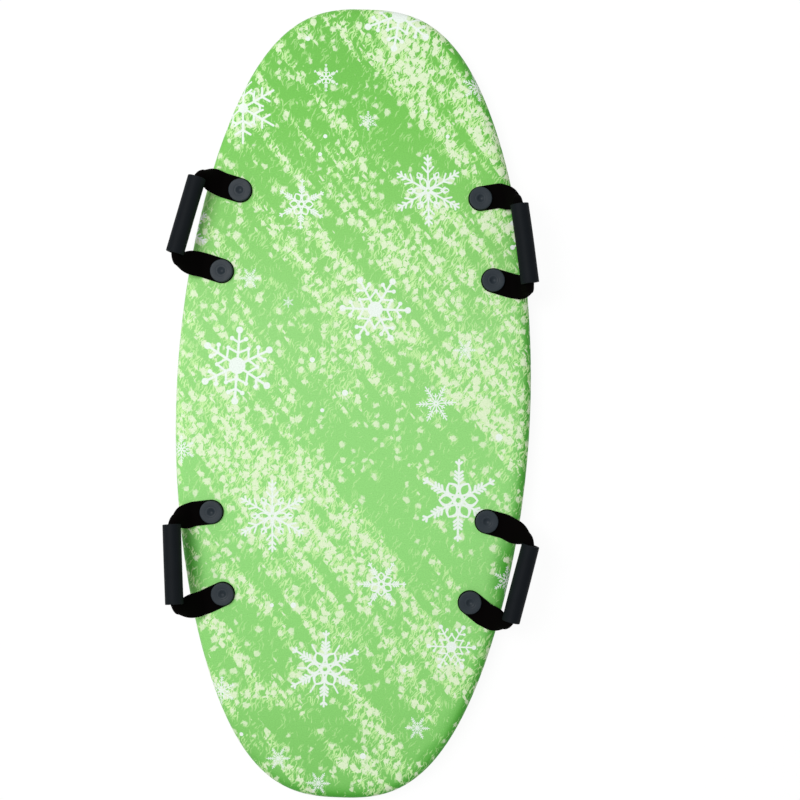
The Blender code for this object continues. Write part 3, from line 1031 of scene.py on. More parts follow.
class Shaper(Wiring):
    """A Geometry Nodes tree in the making."""

    def __init__(self, name: str, sizes: dict[str, str]) -> None:
        """Start a tree with named inputs.

        Args:
            name: the tree's name.
            sizes: the socket type of each named input.
        """
        tree = bpy.data.node_groups.new(name, "GeometryNodeTree")
        super().__init__(tree)
        tree.is_modifier = True
        tree.interface.new_socket("Geometry", in_out="INPUT", socket_type="NodeSocketGeometry")
        for title, kind in sizes.items():
            tree.interface.new_socket(title, in_out="INPUT", socket_type=kind)
        tree.interface.new_socket("Geometry", in_out="OUTPUT", socket_type="NodeSocketGeometry")
        self.given = tree.nodes.new("NodeGroupInput")
        self.end = tree.nodes.new("NodeGroupOutput")

    def size(self, title: str) -> Field:
        """One of the tree's named inputs."""
        return Field(self, self.given.outputs[title])

    def finish(self, geometry: Field) -> None:
        """Make copies real, give them the finish and send the result out.

        Args:
            geometry: what the tree has made.
        """
        real = self.node("GeometryNodeRealizeInstances", None, {"Geometry": geometry})
        values = {"Geometry": real, "Material": self.size("Finish")}
        self.feed(self.end.inputs[0], self.node("GeometryNodeSetMaterial", None, values))

    def named(self, name: str, kind: str = "FLOAT") -> Field:
        """An attribute of the geometry at hand."""
        return self.node("GeometryNodeInputNamedAttribute", {"data_type": kind}, {"Name": name})

    def mesh_of(self, title: str) -> Field:
        """The mesh of the object at a named input."""
        return self.node("GeometryNodeObjectInfo", None, {"Object": self.size(title)}, "Geometry")

    def sampled(self, source: Field, value: Field, index: Field, kind: str = "FLOAT") -> Field:
        """A value read from one point of another geometry.

        Args:
            source: the other geometry.
            value: what is read there.
            index: the point's number.
            kind: the value's data type.

        Returns:
            The value.
        """
        return self.node(
            "GeometryNodeSampleIndex",
            {"data_type": kind, "domain": "POINT", "clamp": True},
            {"Geometry": source, "Value": value, "Index": index},
        )

    def sheet_of(self, rows: Field, columns: Field) -> tuple[Field, Field, Field]:
        """A grid of vertices, with each one's row and column.

        Args:
            rows: how many rows.
            columns: how many columns.

        Returns:
            The grid, and each vertex's row and column.
        """
        sizes = {"Vertices X": rows, "Vertices Y": columns}
        grid = self.node("GeometryNodeMeshGrid", None, sizes, "Mesh")
        index = self.node("GeometryNodeInputIndex")
        row = ((index + 0.5) / columns).maths("FLOOR")
        return grid, row, index - row * columns

    def points_in(self, mesh: Field) -> Field:
        """How many points a mesh has."""
        kind, settings = "GeometryNodeAttributeDomainSize", {"component": "MESH"}
        return self.node(kind, settings, {"Geometry": mesh}, "Point Count")

    def rounded(self, mesh: Field, degrees: float) -> Field:
        """A mesh with its doubles merged, shaded smooth apart from its sharp edges.

        Args:
            mesh: the mesh.
            degrees: the angle past which an edge is sharp.

        Returns:
            The merged mesh.
        """
        values = {"Geometry": mesh, "Distance": TINY}
        made = self.node("GeometryNodeMergeByDistance", None, values)
        angle = self.node("GeometryNodeInputMeshEdgeAngle", None, None, "Unsigned Angle")
        settings = {"data_type": "FLOAT", "operation": "LESS_THAN"}
        soft = self.node("FunctionNodeCompare", settings, {"A": angle, "B": math.radians(degrees)})
        for domain, smooth in (("FACE", True), ("EDGE", soft)):
            values = {"Geometry": made, "Shade Smooth": smooth}
            made = self.node("GeometryNodeSetShadeSmooth", {"domain": domain}, values)
        return made

    def use(self, piece: bpy.types.Object, **values: object) -> bpy.types.Object:
        """Run the tree on a piece and settle the result.

        Args:
            piece: the piece that the tree starts from.
            values: a value for each named input, with _ for a space.

        Returns:
            The piece with its new mesh.
        """
        modifier = piece.modifiers.new(self.tree.name, "NODES")
        modifier.node_group = self.tree
        for item in self.tree.interface.items_tree:
            title = item.name.replace(" ", "_")
            if item.in_out == "INPUT" and title in values:
                modifier[item.identifier] = values[title]
        return settled(piece)


class Lathe(Shaper):
    """Turns a profile about Z and sets a copy of it on every point."""

    CREASE = 32.0

    def __init__(self) -> None:
        """Wire up the tree."""
        sockets = {"Profile": "NodeSocketObject", "Finish": "NodeSocketMaterial"}
        super().__init__("lathe", {**sockets, "Sides": "NodeSocketInt"})
        profile, sides = self.mesh_of("Profile"), self.size("Sides")
        grid, row, column = self.sheet_of(self.points_in(profile), sides + 1.0)
        spot = self.sampled(profile, self.node("GeometryNodeInputPosition"), row, "FLOAT_VECTOR")
        values = {"Vector": spot, "Angle": column / sides * math.tau}
        turned = self.node("ShaderNodeVectorRotate", {"rotation_type": "Z_AXIS"}, values)
        shape = self.node("GeometryNodeSetPosition", None, {"Geometry": grid, "Position": turned})
        copies = {"Points": self.size("Geometry"), "Instance": self.rounded(shape, self.CREASE)}
        self.finish(self.node("GeometryNodeInstanceOnPoints", None, copies))

    def run(
        self,
        name: str,
        profile: list[tuple[float, float]],
        sides: int,
        spots: list[tuple[float, float, float]],
        finish: bpy.types.Material,
    ) -> bpy.types.Object:
        """Turn a profile and set it at its places.

        Args:
            name: the piece's name.
            profile: (radius, height) points, from the top axis down the outside.
            sides: how many sides the turned shape has.
            spots: a place for each copy.
            finish: the material.

        Returns:
            The piece.
        """
        points = [Vector((radius, 0.0, height)) for radius, height in profile]
        outline = polyline(name + "_profile", points)
        mesh = bpy.data.meshes.new(name)
        mesh.from_pydata(spots, [], [])
        piece = self.use(place_mesh(name, mesh), Profile=outline, Sides=sides, Finish=finish)
        bpy.data.objects.remove(outline, do_unlink=True)
        return piece


class Loom(Shaper):
    """Lofts flat webbing along its rows, curls it into the grip and folds it over the rail."""

    CREASE = 40.0
    LEAST_CURL = 0.0001
    SIZES = ("Fold Offset", "Fold Radius", "Lift", "Curl Radius", "Deck Height")

    def __init__(self) -> None:
        """Wire up the tree."""
        sockets = {"Section": "NodeSocketObject", "Finish": "NodeSocketMaterial"}
        super().__init__("loom", {**sockets, **dict.fromkeys(self.SIZES, "NodeSocketFloat")})
        section, rows = self.mesh_of("Section"), self.size("Geometry")
        place = self.node("GeometryNodeInputPosition")
        grid, row, column = self.sheet_of(self.points_in(rows), self.points_in(section))
        middle = self.sampled(rows, place, row, "FLOAT_VECTOR")
        heading = self.sampled(rows, self.named("heading", "FLOAT_VECTOR"), row, "FLOAT_VECTOR")
        half, curl, run = (
            self.sampled(rows, self.named(name), row) for name in ("half", "curl", "run")
        )
        share, level, _ = self.split(self.sampled(section, place, column, "FLOAT_VECTOR"))
        offset = share * half
        sideways, above = self.curled(offset, level, curl.most(self.LEAST_CURL))
        ahead_x, ahead_y, _ = self.split(heading)
        across = self.vector("SCALE", self.joined(-ahead_y, ahead_x), sideways)
        flat_x, flat_y, _ = self.split(self.vector("ADD", middle, across))
        x, z = self.folded(flat_x, above)
        spot = self.joined(x, flat_y, z + self.size("Deck Height"))
        lofted = self.node("GeometryNodeSetPosition", None, {"Geometry": grid, "Position": spot})
        woven = self.node(
            "GeometryNodeStoreNamedAttribute",
            {"data_type": "FLOAT_VECTOR", "domain": "POINT"},
            {"Geometry": lofted, "Name": "weave_place", "Value": self.joined(offset, run)},
        )
        self.finish(self.rounded(woven, self.CREASE))

    def curled(self, offset: Field, level: Field, curl: Field) -> tuple[Field, Field]:
        """Where a point across the strap comes to lie when it is curled.

        Args:
            offset: how far it is off the middle.
            level: its height over the middle of the strap's thickness.
            curl: from 0 flat to 1 rolled to fit the grip.

        Returns:
            Its place sideways, and its height.
        """
        full = self.size("Curl Radius")
        radius = full / curl
        angle = offset / radius
        half_sine = (angle * 0.5).maths("SINE")
        sideways = (radius + level) * angle.maths("SINE")
        above = full * curl - radius * 2.0 * half_sine * half_sine + level * angle.maths("COSINE")
        return sideways, above

    def folded(self, flat: Field, above: Field) -> tuple[Field, Field]:
        """Carry a point past the fold up the slope of the handle.

        Args:
            flat: how far out it is in the unrolled plane.
            above: its height over that plane.

        Returns:
            How far out it comes to lie, and how high.
        """
        radius = self.size("Fold Radius")
        past = flat - self.size("Fold Offset")
        angle = (past / radius).most(0.0).least(self.size("Lift"))
        straight = past - radius * angle
        sine, cosine = angle.maths("SINE"), angle.maths("COSINE")
        out = self.size("Fold Offset") + radius * sine + straight * cosine - above * sine
        height = radius * (1.0 - cosine) + straight * sine + above * cosine
        return out, height


# The board


@dataclass
class BoardForm:
    """The outline and the heights of the board, as in its solids."""

    length: float = 1.219
    width: float = 0.548
    fullness: float = 2.15
    end_fullness: float = 0.5
    deck_top: float = 44.3 * MM
    rail_radius: float = 15.0 * MM
    seam: float = 11.0 * MM
    seam_gap: float = 0.3 * MM
    chine_radius: float = 9.0 * MM
    sides: int = 368
    fine_steps: int = 6000

    def flank(self, station: float) -> float:
        """Half of the board's width at a station along it.

        Args:
            station: how far from the middle it is.

        Returns:
            The half width.
        """
        share = station / (self.length / 2)
        fullness = self.fullness + self.end_fullness * share * share
        return self.width / 2 * max(1.0 - share * share, 0.0) ** (1.0 / fullness)

    def outline(self) -> list[tuple[Vector, Vector]]:
        """Evenly spaced points round the board, each with its outward normal.

        Returns:
            The points and normals, from the right side's middle round by the nose.
        """
        angles = np.linspace(0.0, math.pi / 2, self.fine_steps + 1)
        ys = self.length / 2 * np.sin(angles)
        xs = np.array([self.flank(y) for y in ys])
        run = np.concatenate([[0.0], np.cumsum(np.hypot(np.diff(xs), np.diff(ys)))])
        count = self.sides // 4
        stops = run[-1] * np.arange(count + 1) / count
        slope_x = np.interp(stops, run, np.gradient(xs, run))
        slope_y = np.interp(stops, run, np.gradient(ys, run))
        slope_x[0] = slope_y[-1] = 0.0
        table = zip(np.interp(stops, run, xs), np.interp(stops, run, ys), slope_y, -slope_x)
        points = [(Vector((x, y)), Vector((out, up)).normalized()) for x, y, out, up in table]
        loop = []
        for flip, part in (
            ((1, 1), points[:-1]),
            ((-1, 1), points[:0:-1]),
            ((-1, -1), points[:-1]),
            ((1, -1), points[:0:-1]),
        ):
            loop.extend((point * Vector(flip), normal * Vector(flip)) for point, normal in part)
        return loop

    def shell(
        self,
        name: str,
        rings: list[tuple[float, float, float]],
        holes: list[tuple[float, float]],
        hole_radius: float,
        cell: float,
    ) -> tuple[bpy.types.Mesh, list[tuple[float, float, float]]]:
        """A flat face with round holes, carried on over rings that follow the outline.

        Args:
            name: the mesh's name.
            rings: inset from the outline, height, and run from the flat face's edge, for each
                ring, with that edge first.
            holes: the middles of the holes.
            hole_radius: their radius.
            cell: the spacing of the points inside the flat face.

        Returns:
            The mesh, and each vertex's place on the unrolled surface.
        """
        outline = self.outline()
        flat_inset, flat_height, _ = rings[0]
        edge = [point - normal * flat_inset for point, normal in outline]
        points, faces = flat_with_holes(edge, holes, hole_radius, cell)
        corners = [(point.x, point.y, flat_height) for point in points]
        places = [(point.x, point.y, 0.0) for point in points]
        count = len(outline)
        previous = range(count)
        for inset, height, run in rings[1:]:
            current = range(len(corners), len(corners) + count)
            corners.extend((*(point - normal * inset), height) for point, normal in outline)
            shift = flat_inset - run
            places.extend((*(point - normal * shift), 0.0) for point, normal in outline)
            for i in range(count):
                after = (i + 1) % count
                faces.append((previous[i], current[i], current[after], previous[after]))
            previous = current
        mesh = bpy.data.meshes.new(name)
        mesh.from_pydata(corners, [], faces)
        mesh.update()
        builder = bmesh.new()
        builder.from_mesh(mesh)
        bmesh.ops.recalc_face_normals(builder, faces=builder.faces)
        builder.to_mesh(mesh)
        builder.free()
        return mesh, places


def flat_with_holes(
    edge: list[Vector], holes: list[tuple[float, float]], hole_radius: float, cell: float
) -> tuple[list[Vector], list[tuple[int, ...]]]:
    """Fill an outline with even triangles round a set of round holes.

    Args:
        edge: the outline, which comes first in the result.
        holes: the middles of the holes.
        hole_radius: their radius.
        cell: the spacing of the points inside.

    Returns:
        The points and the triangles.
    """
    hole_sides, edge_gap, hole_gap, inner_share = 24, 0.6 * cell, 0.5 * cell, 0.98
    points = [point.copy() for point in edge]
    links = [(i, (i + 1) % len(edge)) for i in range(len(edge))]
    for x, y in holes:
        first = len(points)
        for side in range(hole_sides):
            angle = math.tau * side / hole_sides
            out, up = hole_radius * math.cos(angle), hole_radius * math.sin(angle)
            points.append(Vector((x + out, y + up)))
            links.append((first + side, first + (side + 1) % hole_sides))
    rim = np.array([tuple(point) for point in edge])
    low, high = rim.min(axis=0), rim.max(axis=0)
    row_height = cell * math.sqrt(3) / 2
    grid = []
    for row in range(int((high[1] - low[1]) / row_height) + 1):
        shift = cell / 2 if row % 2 else 0.0
        for column in range(int((high[0] - low[0]) / cell) + 1):
            grid.append((low[0] + column * cell + shift, low[1] + row * row_height))
    grid = np.array(grid)
    after = np.roll(rim, -1, axis=0)
    along = (after - rim) / np.linalg.norm(after - rim, axis=1)[:, None]
    inward = np.stack([-along[:, 1], along[:, 0]], axis=1)
    depth = np.full(len(grid), np.inf)
    for spot, way in zip(rim, inward):
        depth = np.minimum(depth, (grid - spot) @ way)
    keep = depth > edge_gap
    for hole in holes:
        keep &= np.linalg.norm(grid - np.array(hole), axis=1) > hole_radius + hole_gap
    points.extend(Vector(spot) for spot in grid[keep])
    made, _, faces, _, _, _ = delaunay_2d_cdt(points, links, [], 0, TINY)
    kept = []
    for face in faces:
        middle = sum((made[corner] for corner in face), Vector((0.0, 0.0))) / len(face)
        if all((middle - Vector(hole)).length > hole_radius * inner_share for hole in holes):
            kept.append(tuple(face))
    return list(made), kept


def turned_frame(away: np.ndarray, degrees: float) -> tuple[np.ndarray, np.ndarray]:
    """Offsets in a frame that is turned.

    Args:
        away: a row of two numbers for each place.
        degrees: how far the frame is turned.

    Returns:
        How far each lies along the frame's first axis, and along its second.
    """
    turn = math.radians(degrees)
    along = away @ np.array([math.cos(turn), math.sin(turn)])
    return along, away @ np.array([-math.sin(turn), math.cos(turn)])


@dataclass(frozen=True)
class Stroke:
    """One soft slanted band: of the print, frosted or plain, or of painted shadow."""

    x: float
    y: float
    half_length: float
    half_width: float
    degrees: float
    strength: float

    def weight(self, places: np.ndarray) -> np.ndarray:
        """How much frost, or painted shadow, it adds at each place of the print.

        Args:
            places: places on the print, in metres.

        Returns:
            A number for each place.
        """
        away = places[:, :2] / MM - np.array([self.x, self.y])
        along, across = turned_frame(away, self.degrees)
        fade = np.abs(along / self.half_length) ** 3.0 + (across / self.half_width) ** 4
        return self.strength * np.exp(-fade)


@dataclass
class PrintLayout:
    """Where the print has its frost, its snowflakes and its painted shade, in millimetres on the
    board.

    The snowflakes of each kind are given by place, radius and turn."""

    ground: float = 0.27
    strokes: tuple[Stroke, ...] = tuple(Stroke(*row) for row in (
        (-20, 545, 95, 40, -35, 0.10), (52, 557, 64, 24, -56, 0.60), (72, 592, 78, 20, -24, 0.36),
        (112, 490, 140, 48, -48, 0.22), (50, 487, 125, 8, -47, 0.30), (22, 553, 38, 6, -50, -0.28),
        (150, 522, 45, 12, -55, -0.26), (176, 425, 62, 9, -50, 0.28),
        (40, 447, 125, 24, -48, -0.27), (-45, 490, 60, 34, -35, -0.15),
        (55, 385, 60, 24, -30, -0.12), (-195, 450, 55, 28, -60, 0.36),
        (-125, 375, 38, 9, -50, 0.22), (-20, 360, 42, 9, -45, 0.18), (-40, 235, 85, 10, -38, 0.24),
        (-125, 240, 38, 10, -40, 0.20), (70, 225, 55, 12, -50, 0.20), (-55, 165, 48, 9, -40, 0.22),
        (150, 235, 80, 34, -40, 0.22), (208, 300, 45, 32, -70, 0.28), (240, 165, 45, 24, -60, 0.24),
        (150, 342, 32, 18, -45, -0.28), (50, 328, 26, 20, -60, -0.16), (45, 135, 70, 26, -35, 0.28),
        (178, 75, 55, 28, -60, 0.36), (228, 55, 60, 30, -65, 0.24), (80, 68, 62, 9, -42, -0.26),
        (125, 50, 62, 14, -45, 0.20), (216, -28, 58, 15, -55, 0.42), (196, -50, 75, 11, -50, -0.26),
        (-40, -35, 55, 26, -50, -0.16), (78, -150, 115, 38, -60, -0.22),
        (208, -240, 75, 36, -80, -0.22), (-190, -60, 115, 78, -50, 0.20),
        (-268, -75, 45, 10, -85, 0.35), (-235, -152, 32, 18, -20, -0.22),
        (-75, -158, 115, 48, -38, 0.28), (30, -235, 75, 26, -52, 0.22),
        (-155, -250, 78, 9, -47, -0.32), (-168, -277, 42, 12, -40, 0.20),
        (-100, -215, 60, 22, -40, 0.12), (-118, -362, 58, 13, -50, -0.30),
        (-182, -350, 62, 12, -48, 0.26), (-182, -402, 52, 9, -48, -0.26),
        (-182, -455, 36, 20, -40, 0.30), (-120, -445, 34, 15, -20, 0.24),
        (-110, -497, 85, 20, -8, -0.14), (-10, -345, 62, 26, -45, 0.14),
        (150, -380, 62, 38, -45, 0.20), (47, -430, 52, 11, -55, -0.34),
        (102, -435, 62, 12, -50, 0.22), (-4, -500, 52, 13, -50, -0.24),
        (46, -478, 52, 9, -50, 0.18), (25, -555, 38, 20, -40, 0.24), (172, -478, 62, 18, 55, -0.22),
        (-55, -545, 50, 18, -30, -0.08), (98, -555, 34, 14, -30, 0.10),
        (-158, 365, 50, 34, -60, -0.14), (-185, 265, 60, 34, -60, -0.08),
        (-225, 310, 45, 30, -70, -0.12), (-100, 120, 60, 30, -40, -0.08),
    ))
    flakes: tuple[tuple[Flake, tuple], ...] = (
        (Flake.FERN, (
            (104, 331, 55, 3), (-118, -177, 55.5, 2), (-273, 260, 44, 2), (8, 435, 15.5, 2),
            (-261.5, -79.5, 22, 2), (-187.5, -448.5, 23, -2), (247, -264.5, 23, 2),
            (174, 494, 24, 12),
        )),
        (Flake.BEADED, (
            (29, 146, 54, 30), (-180, 52, 59, -2), (164, -368.5, 37.5, 30), (51, 599, 56, -8),
            (268, 268, 40, 2),
        )),
        (Flake.ROSETTE, (
            (167, -143, 64, 1), (-90, 303.5, 39, 0), (53, -276, 38.5, 32), (-59, 499, 21.5, 2),
        )),
        (Flake.PETALLED, ((-29, -409, 59.5, 0),)),
        (Flake.CELLED, ((-185, 448, 54, 2),)),
        (Flake.SPRIG, (
            (127.5, 4.5, 30, 35), (-165, 187, 16.7, 32), (-105, 152, 8.8, 2), (169, 88, 18, 32),
            (-96, -549, 18, 32), (-33, -585, 18, 30), (116, -495, 18.5, 30),
        )),
        (Flake.DOT, (
            (-89, 558, 3.7, 0), (-57, 409, 3.1, 0), (-64, 381, 3.1, 0), (96, 452, 3.1, 0),
            (131, 415, 3.1, 0), (226, -44, 5.4, 0), (-154, -514, 3.1, 0), (34, -541, 4.6, 0),
            (93, -407, 3.1, 0), (-13, 16, 4.6, 0), (-65, 65, 4.0, 0), (-81, -313, 4.3, 0),
            (-114, -314, 3.1, 0), (-47, -12, 3.1, 0),
        )),
    )
    # Painted shadows: soft darker-green strokes along the rails by the handles, and one on the
    # lower right rail, standing in for the shade that the handles and straps cast.
    painted_shadows: tuple[Stroke, ...] = tuple(Stroke(*row) for row in (
        (-256, 266, 54, 18, 79, 0.45), (254, 262, 54, 20, 101, 0.70),
        (-253, -246, 56, 26, 100, 0.90), (253, -250, 58, 28, 80, 0.95),
        (142, -532, 34, 13, 48, 0.60),
    ))
    margin: float = 6.0
    overhang: float = 1.06
    # Painted rail shade: how far it reaches in from the edge, the way that the shaded rails face,
    # and how far round the board it spreads.
    rail_shade_reach: float = 16.0 * MM
    rail_shade_degrees: float = -40.0
    rim_turn: float = 0.45
    batch: int = 4096

    def frost(self, places: np.ndarray) -> np.ndarray:
        """The share of frost at each place of the print."""
        total = self.ground + sum(stroke.weight(places) for stroke in self.strokes)
        return np.clip(total, 0.03, 0.97)

    def rim(self, places: np.ndarray, outline: list[tuple[Vector, Vector]]) -> np.ndarray:
        """How much painted shade darkens the green: on the rails that face away from the light, to
        the lower right, and in the painted shadows by the handles.

        Args:
            places: the places on the print.
            outline: the points and normals round the board.

        Returns:
            A share for each place.
        """
        spots = np.array([tuple(point) for point, _ in outline])
        ways = np.array([tuple(normal) for _, normal in outline])
        faced, _ = turned_frame(ways, self.rail_shade_degrees)
        faced = np.clip(self.rim_turn + faced, 0.0, 1.0)
        made = np.zeros(len(places))
        for first in range(0, len(places), self.batch):
            away = places[first : first + self.batch, None, :] - spots[None, :, :]
            near = np.argmin(np.einsum("ijk,ijk->ij", away, away), axis=1)
            rows = np.arange(len(near))
            inside = np.maximum(-np.einsum("ij,ij->i", away[rows, near], ways[near]), 0.0)
            fade = np.exp(-((inside / self.rail_shade_reach) ** 2))
            made[first : first + self.batch] = faced[near] * fade
        return reduce(np.maximum, (stroke.weight(places) for stroke in self.painted_shadows), made)

    def dress(self, mesh: bpy.types.Mesh, outline: list[tuple[Vector, Vector]]) -> None:
        """Give a mesh that knows its places on the print its frost, its painted rail shade and its
        flakes.

        Args:
            mesh: the mesh, with the attribute print_place.
            outline: the points and normals round the board.
        """
        places = rows_of(mesh.attributes["print_place"].data, "vector")[:, :2]
        give_attribute(mesh, "frost", self.frost(places))
        give_attribute(mesh, "rim", self.rim(places, outline))
        corner_point = np.zeros(len(mesh.loops), np.int32)
        mesh.loops.foreach_get("vertex_index", corner_point)
        local = np.zeros((len(mesh.loops), 3))
        for polygon in mesh.polygons:
            corners = np.arange(polygon.loop_start, polygon.loop_start + polygon.loop_total)
            spots = places[corner_point[corners]] / MM
            flake = self.nearest(spots.mean(axis=0))
            if flake is not None:
                kind, x, y, radius, degrees = flake
                across, up = turned_frame((spots - np.array([x, y])) / radius, degrees)
                local[corners] = np.stack([across, up, np.full(len(spots), float(kind))], axis=1)
        give_attribute(mesh, "flake_place", local, "CORNER")

    def nearest(self, spot: np.ndarray) -> tuple[Flake, float, float, float, float] | None:
        """The flake that a spot of the print belongs to.

        Args:
            spot: the spot, in millimetres.

        Returns:
            The flake's kind, place, radius and turn, or None.
        """
        best, share = None, 1.0
        for kind, rows in self.flakes:
            for x, y, radius, degrees in rows:
                reach = radius * self.overhang + self.margin
                far = math.hypot(spot[0] - x, spot[1] - y) / reach
                if far < share:
                    best, share = (kind, x, y, radius, degrees), far
        return best


@dataclass
class DeckSkin:
    """The printed skin: a flat deck, rounded rails and a wall down to the seam."""

    board: BoardForm
    seats: list[tuple[float, float]]
    wall: float = 2.5 * MM
    hole_radius: float = 4.8 * MM
    cell: float = 7.0 * MM
    round_steps: int = 12
    side_steps: int = 4
    layout: PrintLayout = field(default_factory=PrintLayout)

    def rings(self) -> list[tuple[float, float, float]]:
        """The rings over the rail: inset, height, and run from the deck's edge.

        Returns:
            The rings, down to the seam.
        """
        radius, top = self.board.rail_radius, self.board.deck_top
        made = []
        for step, (sine, cosine) in enumerate(quarter(self.round_steps)):
            run = radius * (math.pi / 2 * step / self.round_steps)
            made.append((radius * (1.0 - sine), top - radius * (1.0 - cosine), run))
        fall = top - radius - self.board.seam - self.board.seam_gap
        for step in range(1, self.side_steps + 1):
            drop = fall * step / self.side_steps
            made.append((0.0, top - radius - drop, radius * math.pi / 2 + drop))
        return made

    def build(self) -> bpy.types.Object:
        """The skin with its wall and its print.

        Returns:
            The piece.
        """
        mesh, places = self.board.shell(
            "printed_deck", self.rings(), self.seats, self.hole_radius, self.cell
        )
        give_attribute(mesh, "print_place", places)
        piece = place_mesh("printed_deck", mesh, PrintedSkin().material())
        give_wall(piece, self.wall)
        self.layout.dress(piece.data, self.board.outline())
        ride_for(piece, "board", PrintedSkin.slot, "deck_skin")
        return piece


def soften(mesh: bpy.types.Mesh, degrees: float) -> None:
    """Shade a mesh smooth, apart from its sharp edges."""
    mesh.shade_smooth()
    mesh.set_sharp_from_angle(angle=math.radians(degrees))


def give_wall(piece: bpy.types.Object, wall: float, crease: float = 35.0) -> None:
    """Give an open surface its wall, on its inner side, and shade it.

    Args:
        piece: the surface, with its faces outwards.
        wall: the wall's thickness.
        crease: the angle in degrees past which an edge is sharp.
    """
    solid = piece.modifiers.new("wall", "SOLIDIFY")
    solid.thickness = wall
    solid.offset = -1.0
    solid.use_even_offset = True
    solid.use_rim = True
    settled(piece)
    soften(piece.data, crease)


def ride_for(piece: bpy.types.Object, body: str, slot: str, *nodes: str) -> None:
    """Make a piece ride on a body and stand for CAD nodes.

    Args:
        piece: the piece.
        body: the body that it moves with.
        slot: the record's material slot; not used.
        nodes: the CAD nodes that it replaces.
    """
    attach(piece, body)
    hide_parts(*nodes)
    LOG.info("%s rides on %s: %d faces", piece.name, body, len(piece.data.polygons))


@dataclass
class SlickBottom:
    """The slick sheet: a flat bottom, a rounded chine and a lip up to the seam."""

    board: BoardForm
    seats: list[tuple[float, float]]
    wall: float = 1.2 * MM
    hole_radius: float = 15.3 * MM
    cell: float = 24.0 * MM
    round_steps: int = 8

    def build(self) -> bpy.types.Object:
        """The sheet with its wall, open at the sockets.

        Returns:
            The piece.
        """
        radius = self.board.chine_radius
        rings = [
            (radius * (1.0 - sine), radius * (1.0 - cosine), 0.0)
            for sine, cosine in quarter(self.round_steps)
        ]
        rings.append((0.0, self.board.seam, 0.0))
        mesh, _ = self.board.shell("slick_sheet", rings, self.seats, self.hole_radius, self.cell)
        piece = place_mesh("slick_sheet", mesh, SlickSheet().material())
        give_wall(piece, self.wall)
        ride_for(piece, "board", SlickSheet.slot, "slick_bottom")
        return piece


# The handles


class End(Enum):
    """The two ends of a handle along the board."""

    FORE = "fore"
    AFT = "aft"


@dataclass(frozen=True)
class Handle:
    """How one handle lies, in the words of the solids."""

    name: str
    side: int
    drift: float
    skew: float
    lift: float
    fan_ahead: float
    fan_behind: float

    def end_name(self, end: int) -> End:
        """The end at local +Y or -Y."""
        return End.FORE if end == self.side else End.AFT

    def seat(self, end: int) -> Vector:
        """Where a button stands on the board."""
        low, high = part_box(f"{self.name}_{self.end_name(end).value}_button")
        return Vector(((low[0] + high[0]) / 2, (low[1] + high[1]) / 2))

    def spacing(self) -> float:
        """From one button to the other."""
        return (self.seat(1) - self.seat(-1)).length

    def frame(self) -> Matrix:
        """The handle's own frame: +X out over the rail, +Y towards its first end.

        Returns:
            The frame as a matrix.
        """
        ahead = (self.seat(1) - self.seat(-1)).normalized()
        middle = (self.seat(1) + self.seat(-1)) / 2
        turn = math.atan2(-ahead.x, ahead.y)
        return Matrix.Translation((middle.x, middle.y, 0.0)) @ Matrix.Rotation(turn, 4, "Z")


HANDLES = (
    Handle("front_left", -1, -0.0345, 4.0, 42.0, -5.1, -4.5),
    Handle("front_right", 1, -0.1497, 2.0, 63.0, 0.5, -25.5),
    Handle("rear_left", -1, 0.0345, 7.5, 49.0, 17.0, -1.5),
    Handle("rear_right", 1, -0.1185, 3.2, 38.0, -3.4, -27.2),
)


